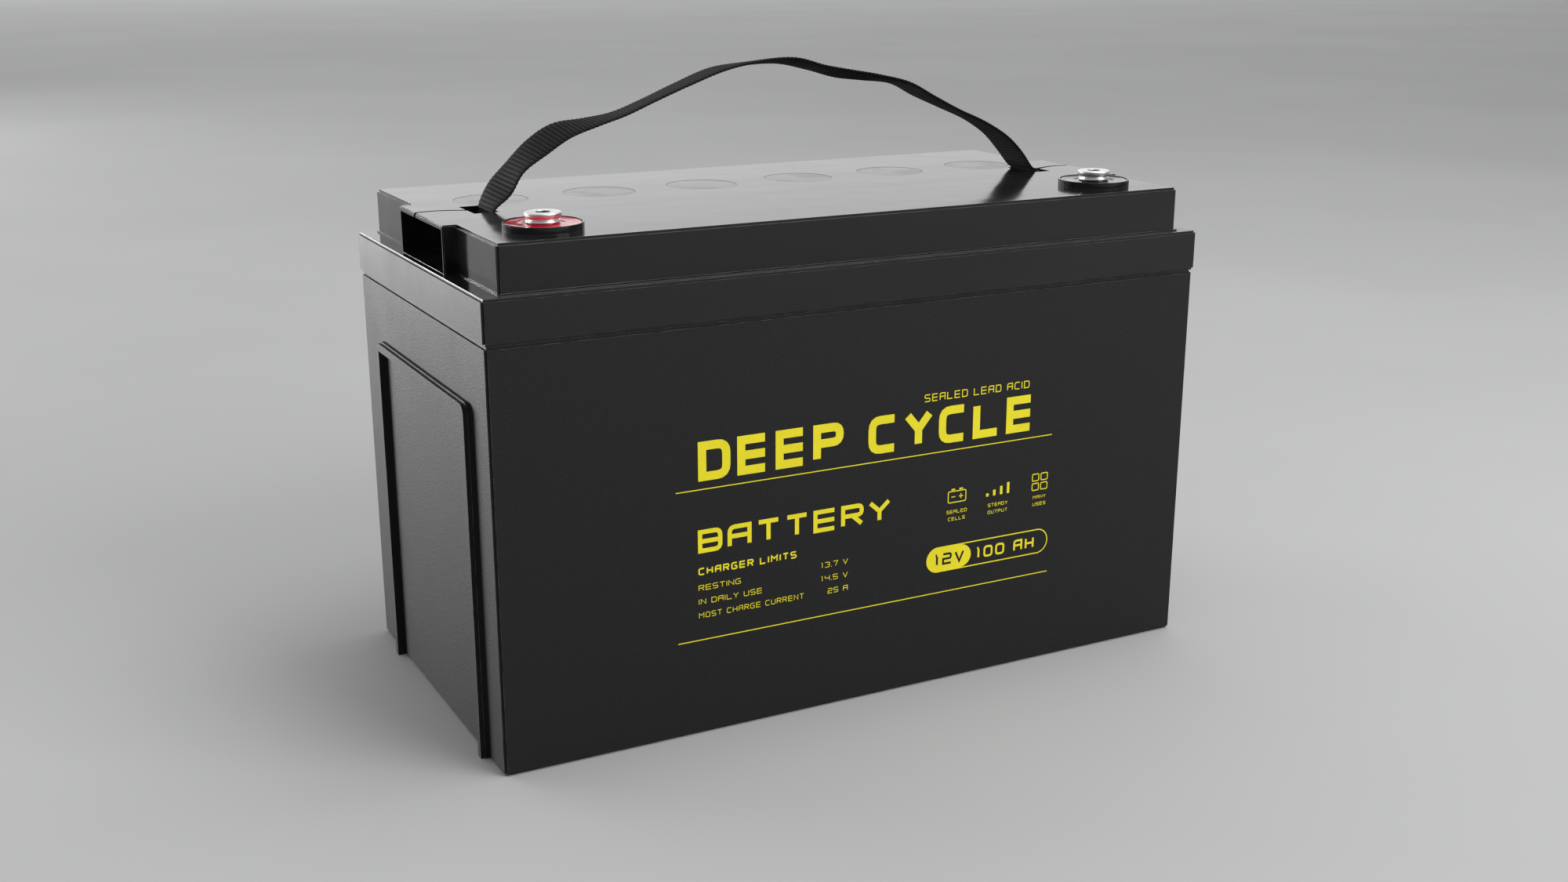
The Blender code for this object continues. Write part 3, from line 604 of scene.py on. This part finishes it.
def make_insert(side, label, metal):
    """A terminal's threaded insert: head, neck, buried flange and a 6 mm thread down the middle.

    Each point of the profile is a radius, a height and the rounding of that corner.
    """
    profile = [(0.0, 0.2025), (HOLE_RADIUS, 0.2025, 0.0), (HOLE_RADIUS, 0.2139, 0.0),
               (0.0031, 0.21455, 0.0001),
               (0.00680, 0.21455, 0.0002), (0.00715, 0.2142, 0.0002), (0.00695, 0.2128, 0.0006),
               (0.0063, 0.2119, 0.0002), (0.0057, 0.2118, 0.0001), (0.0057, 0.2115, 0.0001),
               (0.0066, 0.2115, 0.00015), (0.0067, 0.2108, 0.00015), (0.0056, 0.2108, 0.0),
               (0.0056, INSERT_FLANGE_TOP, 0.0), (0.0105, INSERT_FLANGE_TOP, 0.0002),
               (0.0105, SEAL_SEAT, 0.0002), (0.0056, SEAL_SEAT, 0.0), (0.0056, 0.199, 0.0002),
               (0.0, 0.199)]
    line = rounded_line(profile, 0.0)
    rows = 90
    wall = np.stack([np.full(rows, HOLE_RADIUS), np.linspace(0.2027, 0.2137, rows)], axis=1)
    line = np.concatenate([line[:2], wall, line[2:]])
    low, high, pitch, depth, widest = 0.2029, 0.2136, 0.001, 0.00045, 0.004
    item = turned(f"insert_{label}", line, (side * TERMINAL_X, TERMINAL_Y), metal,
                  TERMINAL_SEGMENTS, thread=(low, high, pitch, depth, widest))
    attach(item, "root")
    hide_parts(f"terminal_insert_{label}")


def make_seal(side, label, material):
    """The resin poured round an insert: z of its top = rim - dip * (1 - (2(r - mid) / width)^2)."""
    inside, outside, step, dip = 0.0059, 0.0145, 0.0108, 0.0006
    across = np.linspace(inside, outside, 40)
    bowl = 1 - (2 * (across - (inside + outside) / 2) / (outside - inside)) ** 2
    top = np.stack([across, SEAL_TOP - dip * bowl], axis=1)
    under = np.array([(outside, SEAL_SEAT), (step, SEAL_SEAT),
                      (step, INSERT_FLANGE_TOP + FIT), (inside, INSERT_FLANGE_TOP + FIT)])
    item = turned(f"resin_{label}", np.concatenate([top, under]), (side * TERMINAL_X, TERMINAL_Y),
                  material, TERMINAL_SEGMENTS, closed=True)
    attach(item, "root")
    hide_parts(f"terminal_seal_{label}")


def make_vent_cover(number, material):
    """A flush round cover with a slight crown: z = top - sink * (r / R)^2, and a quarter-round rim."""
    low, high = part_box(f"vent_cover_{number}")
    centre = ((low.x + high.x) / 2, (low.y + high.y) / 2)
    wider, rounding, sink = 0.00018, 0.00025, 0.00006
    radius = (high.x - low.x) / 2 + wider
    across = np.linspace(0.0, radius - rounding, 24)
    crown = np.stack([across, high.z - sink * (across / radius) ** 2], axis=1)
    turn = np.linspace(0.0, math.pi / 2, 6)[1:]
    rim = np.stack([radius - rounding + rounding * np.sin(turn),
                    crown[-1, 1] - rounding + rounding * np.cos(turn)], axis=1)
    under = np.array([(radius, low.z), (0.0, low.z)])
    item = turned(f"cover_{number}", np.concatenate([crown, rim, under]), centre, material,
                  COVER_SEGMENTS)
    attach(item, "root")
    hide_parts(f"vent_cover_{number}")


# ---------------------------------------------------------------- carry strap

STRAP_Y = 0.0025
STRAP_WIDTH = 0.0193
STRAP_THICK = 0.0016
STRAP_ROWS = 1560
STRAP_COLUMNS = 28
RIB_PITCH = 0.00188
# Middle of the band as (x, z) in millimetres, and its twist in degrees with the near edge raised.
STRAP_KNOTS = ((-132.6, 193.9, 0), (-132.6, 201.0, 0), (-132.6, 208.0, 0), (-126.6, 215.6, -12),
               (-119.8, 223.8, -6), (-109.7, 231.7, -13), (-99.1, 237.7, -12), (-86.0, 240.6, -3),
               (-73.4, 243.4, 3), (-59.8, 248.4, 5), (-45.0, 254.1, 4), (-27.9, 260.0, 3),
               (-12.5, 262.2, 7), (5.0, 262.7, 9), (20.1, 259.3, 7), (34.3, 256.1, 11),
               (47.3, 254.1, 9), (63.0, 251.2, 3), (75.8, 245.0, 2), (89.7, 238.7, -1),
               (104.0, 232.6, -1), (115.8, 225.6, 1), (123.7, 218.3, 3), (129.8, 211.1, 2),
               (132.6, 208.0, 0), (132.6, 201.0, 0), (132.6, 193.9, 0))


def smooth_route(knots, count):
    """Points a steady distance apart on the Catmull-Rom curve through the knots, with the distance."""
    ends = np.array([knots[0], *knots, knots[-1]], dtype=float)
    t = np.linspace(0.0, 1.0, 40, endpoint=False)[:, None]
    a, b, c, d = (ends[i:len(ends) - 3 + i, None, :] for i in range(4))
    curve = 0.5 * (2 * b + (c - a) * t + (2 * a - 5 * b + 4 * c - d) * t ** 2
                   + (3 * b - a - 3 * c + d) * t ** 3)
    curve = np.concatenate([curve.reshape(-1, ends.shape[1]), ends[-1:]])
    steps = np.linalg.norm(np.diff(curve[:, :2], axis=0), axis=1)
    length = np.concatenate([[0.0], np.cumsum(steps)])
    steady = np.linspace(0.0, length[-1], count)
    return np.stack([np.interp(steady, length, column) for column in curve.T], axis=1), steady


def make_strap(material):
    """One length of webbing over the arch and down to both bars.

    Section at distance s along the route: a flat oval of half-thickness T = T0 (0.5 + 0.5 rib(s)) and
    half-width W = W0 - 0.2 mm (1 - rib(s)), with rib(s) = |sin(pi s / pitch)|^0.6. Its points lie
    W |cos a|^0.45 across and T |sin a|^0.55 outwards, with the signs of cos a and sin a. It stands
    square to the route and turns by the twist w: across = Y cos w - N sin w, outwards = N cos w + Y sin w.
    """
    route, along = smooth_route(STRAP_KNOTS, STRAP_ROWS)
    line = route[:, :2] / 1000
    along = along / 1000
    way = np.gradient(line, axis=0)
    way /= np.linalg.norm(way, axis=1)[:, None]
    level = np.stack([-way[:, 1], np.zeros(len(way)), way[:, 0]], axis=1)
    side = np.array((0.0, 1.0, 0.0))
    twist = np.radians(route[:, 2:3])
    across = side * np.cos(twist) - level * np.sin(twist)
    outward = level * np.cos(twist) + side * np.sin(twist)
    rib = np.abs(np.sin(math.pi * along / RIB_PITCH)) ** 0.6
    half_thick = STRAP_THICK / 2 * (0.5 + 0.5 * rib)
    half_width = STRAP_WIDTH / 2 - 0.0002 * (1 - rib)
    turn = np.linspace(0.0, 2 * math.pi, STRAP_COLUMNS, endpoint=False)
    wide = half_width[:, None] * np.sign(np.cos(turn)) * np.abs(np.cos(turn)) ** 0.45
    deep = half_thick[:, None] * np.sign(np.sin(turn)) * np.abs(np.sin(turn)) ** 0.55
    middle = np.stack([line[:, 0], np.full(len(line), STRAP_Y), line[:, 1]], axis=1)
    points = (middle[:, None] + across[:, None] * wide[..., None]
              + outward[:, None] * deep[..., None])
    rows, columns = wide.shape
    faces = grid_faces(rows, columns, wrap_columns=True).tolist()
    faces += [list(range(columns)), list(range((rows - 1) * columns, rows * columns))[::-1]]
    item = mesh_object("strap", points, faces, material)
    mesh = item.data
    mesh.polygons.foreach_set("use_smooth", np.ones(len(mesh.polygons), dtype=bool))
    vertex = np.empty(len(mesh.loops), dtype=np.int32)
    mesh.loops.foreach_get("vertex_index", vertex)
    spread = (np.repeat(along, columns)[vertex] * 100, wide.ravel()[vertex] * 100)
    mesh.uv_layers.new(name="band").data.foreach_set("uv", np.stack(spread, axis=1).ravel())
    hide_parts("carry_strap", "strap_end_left", "strap_end_right")
    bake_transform(item)


# ---------------------------------------------------------------- print

# Each letter is one or more strokes through a 3 x 3 board: a b c on top, d e f, g h i below.
# A capital is a sharp corner, a small letter a rounded one; a dash butts that end to another stroke.
STROKES = {
    "A": ("GaCI", "-df-"), "B": ("AciG", "-df-"), "C": ("cagi",), "D": ("AciG",),
    "E": ("CAGI", "-df"), "G": ("cagife",), "H": ("AG", "CI", "-df-"), "I": ("AG",),
    "L": ("AGI",), "M": ("GAECI",), "N": ("GAIC",), "O": ("acig",), "P": ("GAcfD-",),
    "R": ("GAcfD-", "EI"), "S": ("cadfig",), "T": ("AC", "-bH"), "U": ("AgiC",), "V": ("AHC",),
    "Y": ("AEC", "EH"), "0": ("acig",), "1": ("aB", "-BH"), "2": ("acfDGI",), "3": ("acig", "-fe"),
    "4": ("AdF", "CI"), "5": ("CADfig",), "7": ("ACH",), ".": ("gG",),
}
# Letters whose long stroke closes on itself.
STROKE_LOOPS = "BDO0"
# The corner radius of a small letter's turn, and the gap between letters, as shares of the height.
TURN_SHARE = 0.24
GAP_SHARE = 0.26
# Columns and rows of the board, with the width of narrow and wide letters as a share of a plain one.
BOARD = {letter: (index % 3 / 2, 1 - index // 3 / 2) for index, letter in enumerate("abcdefghi")}
LETTER_WIDTHS = {" ": 0.55, "I": 0.0, "1": 0.40, ".": 0.0, "M": 1.15}
# The film's front and back as Y, the front of the digits on the pill, and the step between films.
PRINT_FRONT = CASE_FACE_Y - 0.00006
PRINT_BACK = CASE_FACE_Y + 0.00003
DIGIT_FRONT = CASE_FACE_Y - 0.00010
PRINT_LAYER = 0.000006


def stroke_edges(line, weight, closed):
    """Both edges of a stroke: the line moved half the weight along its mitred normals.

    At a corner between unit normals m and n the move is half the weight times (m + n) / (1 + m.n),
    where 1 + m.n is held to 0.4 or more.
    """
    ahead = np.roll(line, -1, axis=0) - line
    normal = np.stack([-ahead[:, 1], ahead[:, 0]], axis=1)
    normal /= np.maximum(np.linalg.norm(normal, axis=1), 1e-12)[:, None]
    before = np.roll(normal, 1, axis=0)
    if not closed:
        normal[-1] = normal[-2]
        before[0] = normal[0]
    share = np.maximum(1 + (normal * before).sum(axis=1), 0.4)
    move = (normal + before) / share[:, None] * weight / 2
    return line + move, line - move


def letter_strokes(letter, left, base, width, height, weight):
    """The centre lines of one letter, half a weight inside its box; a full stop is a square dot."""
    inner = np.array((max(width - weight, 0.0), height - weight))
    corner = np.array((left, base)) + weight / 2
    lines = []
    for stroke in STROKES.get(letter, ()):
        knots = [(*(corner + inner * BOARD[k.lower()]), 0.0 if k.isupper() else TURN_SHARE * height)
                 for k in stroke.strip("-")]
        if letter == ".":
            knots = [(left, base + weight / 2, 0.0), (left + weight, base + weight / 2, 0.0)]
        places = [np.array(k[:2]) for k in knots]
        for dash, end, other in ((stroke[0] == "-", 0, 1), (stroke[-1] == "-", -1, -2)):
            if dash:
                way = places[other] - places[end]
                places[end] = places[end] + way / np.linalg.norm(way) * weight / 2
        knots = [(*place, knot[2]) for place, knot in zip(places, knots)]
        closed = len(knots) > 3 and "-" not in stroke and letter in STROKE_LOOPS
        lines.append((rounded_line(knots, 0.0, closed=closed), closed))
    return lines


def text_strokes(text, left, right, base, height, weight, gap=None):
    """Every stroke of a line of text, with the letters' width chosen so that it fills left to right."""
    gap = GAP_SHARE * height if gap is None else gap
    shares = np.array([LETTER_WIDTHS.get(letter, 1.0) for letter in text])
    fixed = weight * (len(text) - text.count(" ")) + gap * (len(text) - 1)
    plain = (right - left - fixed) / shares.sum()
    strokes = []
    for letter, share in zip(text, shares):
        width = share * plain + (0.0 if letter == " " else weight)
        strokes += [(*stroke_edges(line, weight, closed), closed)
                    for line, closed in letter_strokes(letter, left, base, width, height, weight)]
        left += width + gap
    return strokes


def straight(x0, z0, x1, z1, weight):
    """One straight stroke."""
    line = np.array([(x0, z0), (x1, z1)], dtype=float)
    return (*stroke_edges(line, weight, False), False)


def printed(name, strokes, material, front=PRINT_FRONT):
    """Ink on the front wall: each stroke, in millimetres, as a thin closed strip standing off the wall.

    Three film heights alternate, so that two strokes that cross never share a face.
    """
    points = []
    faces = []
    for index, (first, second, closed) in enumerate(strokes):
        film = front - PRINT_LAYER * (index % 3)
        start = sum(len(p) for p in points)
        rows = len(first)
        ring = np.stack([first, second, second, first], axis=1) / 1000
        depth = np.broadcast_to(np.array([film, film, PRINT_BACK, PRINT_BACK]), (rows, 4))
        points.append(np.stack([ring[..., 0], depth, ring[..., 1]], axis=-1).reshape(-1, 3))
        faces += (grid_faces(rows, 4, wrap_rows=closed, wrap_columns=True) + start).tolist()
        if not closed:
            end = start + (rows - 1) * 4
            faces += [[start, start + 1, start + 2, start + 3], [end + 3, end + 2, end + 1, end]]
    item = mesh_object(name, np.concatenate(points), faces, material)
    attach(item, "root")
    return item


def make_print(ink, dark):
    """The front wall's print: plain words, ratings, three small signs and two rules, in millimetres."""
    left = -80.5
    printed("print_headline", text_strokes("DEEP CYCLE", -80.0, 80.5, 108.2, 16.2, 3.6, gap=3.0), ink)
    printed("print_caption", text_strokes("SEALED LEAD ACID", 24.5, 77.8, 127.5, 3.3, 0.42), ink)
    printed("print_name", text_strokes("BATTERY", left, 8.8, 78.2, 9.8, 1.9, gap=2.3), ink)
    rows = text_strokes("CHARGER LIMITS", left, -36.0, 68.9, 3.1, 0.62)
    for words, word_end, value, value_start, base in (
            ("RESTING", -61.6, "13.7 V", -24.4, 62.3),
            ("IN DAILY USE", -52.0, "14.5 V", -24.4, 56.4),
            ("MOST CHARGE CURRENT", -32.5, "25 A", -21.2, 50.5)):
        rows += text_strokes(words, left, word_end, base, 2.35, 0.28)
        rows += text_strokes(value, value_start, -11.6, base, 2.35, 0.28)
    printed("print_ratings", rows, ink)
    printed("print_rules", [straight(-89.8, 104.8, 90.9, 104.8, 0.4),
                            straight(-89.8, 41.1, 91.3, 41.1, 0.4)], ink)
    make_signs(ink)
    make_pill(ink, dark)


def make_signs(ink):
    """Three small signs: a cell outline, four rising bars, and four squares."""
    box = np.array([(37.6, 81.2), (46.6, 81.2), (46.6, 86.2), (37.6, 86.2)])
    signs = [(*stroke_edges(rounded_line(box, 0.8, closed=True), 0.45, True), True),
             straight(39.2, 87.0, 41.0, 87.0, 0.7), straight(43.2, 87.0, 45.0, 87.0, 0.7),
             straight(39.2, 83.7, 41.2, 83.7, 0.4), straight(43.0, 83.7, 45.2, 83.7, 0.4),
             straight(44.1, 82.6, 44.1, 83.5, 0.4), straight(44.1, 83.9, 44.1, 84.8, 0.4)]
    for step in range(4):
        x = 57.8 + 3.6 * step
        signs.append(straight(x, 81.2, x, 82.6 + 1.2 * step, 1.3))
    for x in (81.4, 86.0):
        for z in (80.3, 84.6):
            square = np.array([(x, z), (x + 3.4, z), (x + 3.4, z + 3.1), (x, z + 3.1)])
            signs.append((*stroke_edges(rounded_line(square, 0.6, closed=True), 0.45, True), True))
    for middle, words in ((42.1, ("SEALED", "CELLS")), (63.4, ("STEADY", "OUTPUT")),
                          (85.5, ("MANY", "USES"))):
        for word, base in zip(words, (76.2, 73.0)):
            half = 0.86 * len(word)
            signs += text_strokes(word, middle - half, middle + half, base, 1.55, 0.22)
    printed("print_signs", signs, ink)


def make_pill(ink, dark):
    """The rating pill: an outline of two half-rounds, and a filled left part with dark digits on it.

    Half the fill's height is (R - e) sqrt(1 - (d / R)^2), or 0.02 mm where that is less. R is the
    pill's radius, e the outline's weight, and d how far the place lies past the straight part.
    """
    middle, radius, left, right, fill, edge = 56.2, 5.75, 27.3, 90.9, 50.1, 0.5
    turn = np.linspace(-math.pi / 2, math.pi / 2, 24)
    r = radius - edge / 2
    right_end = np.stack([right - radius + r * np.cos(turn), middle + r * np.sin(turn)], axis=1)
    left_end = np.stack([left + radius - r * np.cos(turn), middle - r * np.sin(turn)], axis=1)
    ring = np.concatenate([right_end, left_end])
    bend = 1 - np.cos(np.linspace(0.02, math.pi / 2, 20))
    x = np.concatenate([left + edge + radius * bend * 0.956, fill - radius * bend[::-1]])
    past = np.maximum(np.maximum(left + radius - x, x - (fill - radius)), 0.0)
    half = np.sqrt(np.maximum((radius - edge) ** 2 - (past * (radius - edge) / radius) ** 2, 0.0004))
    blob = (np.stack([x, middle + half], axis=1), np.stack([x, middle - half], axis=1), False)
    words = text_strokes("100 AH", 52.9, 83.5, 53.4, 5.3, 0.95)
    printed("print_pill", [(*stroke_edges(ring, edge, True), True), blob, *words], ink)
    digits = text_strokes("12V", 31.4, 46.6, 53.5, 5.3, 1.0)
    printed("print_pill_digits", digits, dark, front=DIGIT_FRONT)


def finish_inside(groups):
    """Finishes for the CAD nodes that are shown as they are: valves, seals, posts, plates and mats."""
    rubber = plain_moulded("valve rubber", groups, (0.010, 0.010, 0.010, 1), (0.020, 0.020, 0.020, 1),
                           0.62, 0.78, 2400.0, 0.00004)
    lead = plain_moulded("cast lead", groups, (0.22, 0.23, 0.25, 1), (0.36, 0.37, 0.39, 1),
                         0.38, 0.60, 900.0, 0.00008, metallic=0.9)
    paste = plain_moulded("lead oxide paste", groups, (0.07, 0.032, 0.022, 1), (0.14, 0.070, 0.045, 1),
                          0.78, 0.92, 1400.0, 0.00010)
    sponge = plain_moulded("sponge lead", groups, (0.20, 0.21, 0.22, 1), (0.33, 0.34, 0.36, 1),
                           0.58, 0.74, 1400.0, 0.00010, metallic=0.4)
    mat = plain_moulded("glass mat", groups, (0.70, 0.70, 0.67, 1), (0.88, 0.88, 0.86, 1),
                        0.85, 0.97, 1900.0, 0.00012)
    finishes = {"valve_cap": rubber, "terminal_o_ring": rubber, "terminal_post": lead,
                "cell_connector": lead, "positive_plates": paste, "negative_plates": sponge,
                "glass_mat": mat}
    for start, material in finishes.items():
        for name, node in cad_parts.items():
            if name.startswith(start):
                node.data.materials.clear()
                node.data.materials.append(material)


def main():
    """Camera, shader groups, the outer pieces with their materials, the CAD nodes and the studio."""
    make_camera()
    groups = {"grain": make_moulded_grain(), "edge": make_edge_wear_and_highlight(), "dust": make_settled_dust(),
              "gloss": make_wiped_gloss(), "rings": make_turning_marks(), "weave": make_woven_band()}
    case = case_plastic(groups)
    gloss = lid_gloss(groups)
    cover = cover_gloss(groups)
    metal = turned_metal(groups)
    red = resin("red resin", groups, (0.36, 0.002, 0.014, 1), (0.60, 0.006, 0.034, 1))
    black = resin("black resin", groups, (0.006, 0.006, 0.006, 1), (0.013, 0.013, 0.013, 1))
    nylon = plain_moulded("bar nylon", groups, (0.012, 0.012, 0.012, 1), (0.022, 0.022, 0.022, 1),
                          0.38, 0.52, 1800.0, 0.00003)
    for part, material, slot, size in (("container", case, "case_plastic", 0.00016),
                                       ("lid", gloss, "lid_gloss", 0.00016),
                                       ("strap_anchor_left", nylon, "nylon", 0.0002),
                                       ("strap_anchor_right", nylon, "nylon", 0.0002)):
        item = rounded_copy(part, f"{part}_shell", material, size)
        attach(item, "root" if part in ("container", "lid") else "strap_slider")
        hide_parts(part)
    for number in range(1, 7):
        make_vent_cover(number, cover)
    for side, label, material in ((-1, "positive", red), (1, "negative", black)):
        make_insert(side, label, metal)
        make_seal(side, label, material)
    make_strap(webbing(groups))
    make_print(print_ink(groups), case)
    finish_inside(groups)
    make_studio(groups)


def make_camera():
    """The camera, level across, turned and tilted onto the object."""
    data = bpy.data.cameras.new("camera")
    data.lens = CAMERA_LENS
    data.sensor_width = CAMERA_SENSOR
    data.clip_start = 0.01
    camera = bpy.data.objects.new("camera", data)
    camera.location = CAMERA_PLACE
    camera.rotation_euler = (math.radians(90 - CAMERA_TILT), 0.0, math.radians(-CAMERA_TURN))
    bpy.context.scene.collection.objects.link(camera)
    bpy.context.scene.camera = camera


def area_light(name, place, aim, size, radiance, falloff=0.0):
    """A soft rectangular light at a place, facing the aim point, dimmer to its right by the falloff."""
    data = bpy.data.lights.new(name, "AREA")
    data.shape = "RECTANGLE"
    data.size, data.size_y = size
    data.energy = radiance * math.pi * size[0] * size[1]
    if falloff:
        data.use_nodes = True
        n = Nodes(data.node_tree)
        part = n.add("ShaderNodeSeparateXYZ")
        n.link(n.add("ShaderNodeNewGeometry").outputs["Parametric"], part.inputs[0])
        strength = n.span(part.outputs["X"], 0.2, 0.8, 1.0 - falloff, 1.0)
        n.link(strength, data.node_tree.nodes["Emission"].inputs["Strength"])
    item = bpy.data.objects.new(name, data)
    way = np.array(aim, dtype=float) - np.array(place, dtype=float)
    way /= np.linalg.norm(way)
    item.location = place
    item.rotation_euler = (math.acos(-way[2]), 0.0, math.atan2(way[1], way[0]) - math.pi / 2)
    item.visible_camera = False
    bpy.context.scene.collection.objects.link(item)


def make_studio(groups):
    """Pale floor, an even pale surround, and soft panels to the left, behind, above and in front."""
    half = 40.0
    low = CAD_BOX[0][2] - 0.0002
    corners = np.array([(-half, -half, low), (half, -half, low), (half, half, low),
                        (-half, half, low)])
    floor = mesh_object("floor", corners, [(0, 1, 2, 3)], floor_finish(groups))
    world = bpy.data.worlds.new("surround")
    world.use_nodes = True
    world.node_tree.nodes["Background"].inputs["Color"].default_value = (0.82, 0.83, 0.85, 1)
    world.node_tree.nodes["Background"].inputs["Strength"].default_value = 0.40
    bpy.context.scene.world = world
    bpy.context.scene.view_settings.view_transform = "Standard"
    area_light("left panel", (-1.93, 2.43, 0.20), (-0.165, 0.0, 0.10), (1.9, 0.36), 45.0)
    area_light("back panel", (1.9, 10.8, 2.6), (0.0, 0.0, 0.2), (20.0, 4.0), 1.15, falloff=0.4)
    area_light("ceiling panel", (3.0, 6.5, 5.5), (3.0, 6.49, 0.0), (16.0, 14.0), 0.35)
    area_light("top panel", (0.45, -0.35, 1.8), (0.0, 0.0, 0.1), (1.3, 1.0), 3.0)
    area_light("front panel", (1.1, -1.7, 1.2), (0.0, 0.0, 0.1), (1.6, 1.2), 5.0)


main()
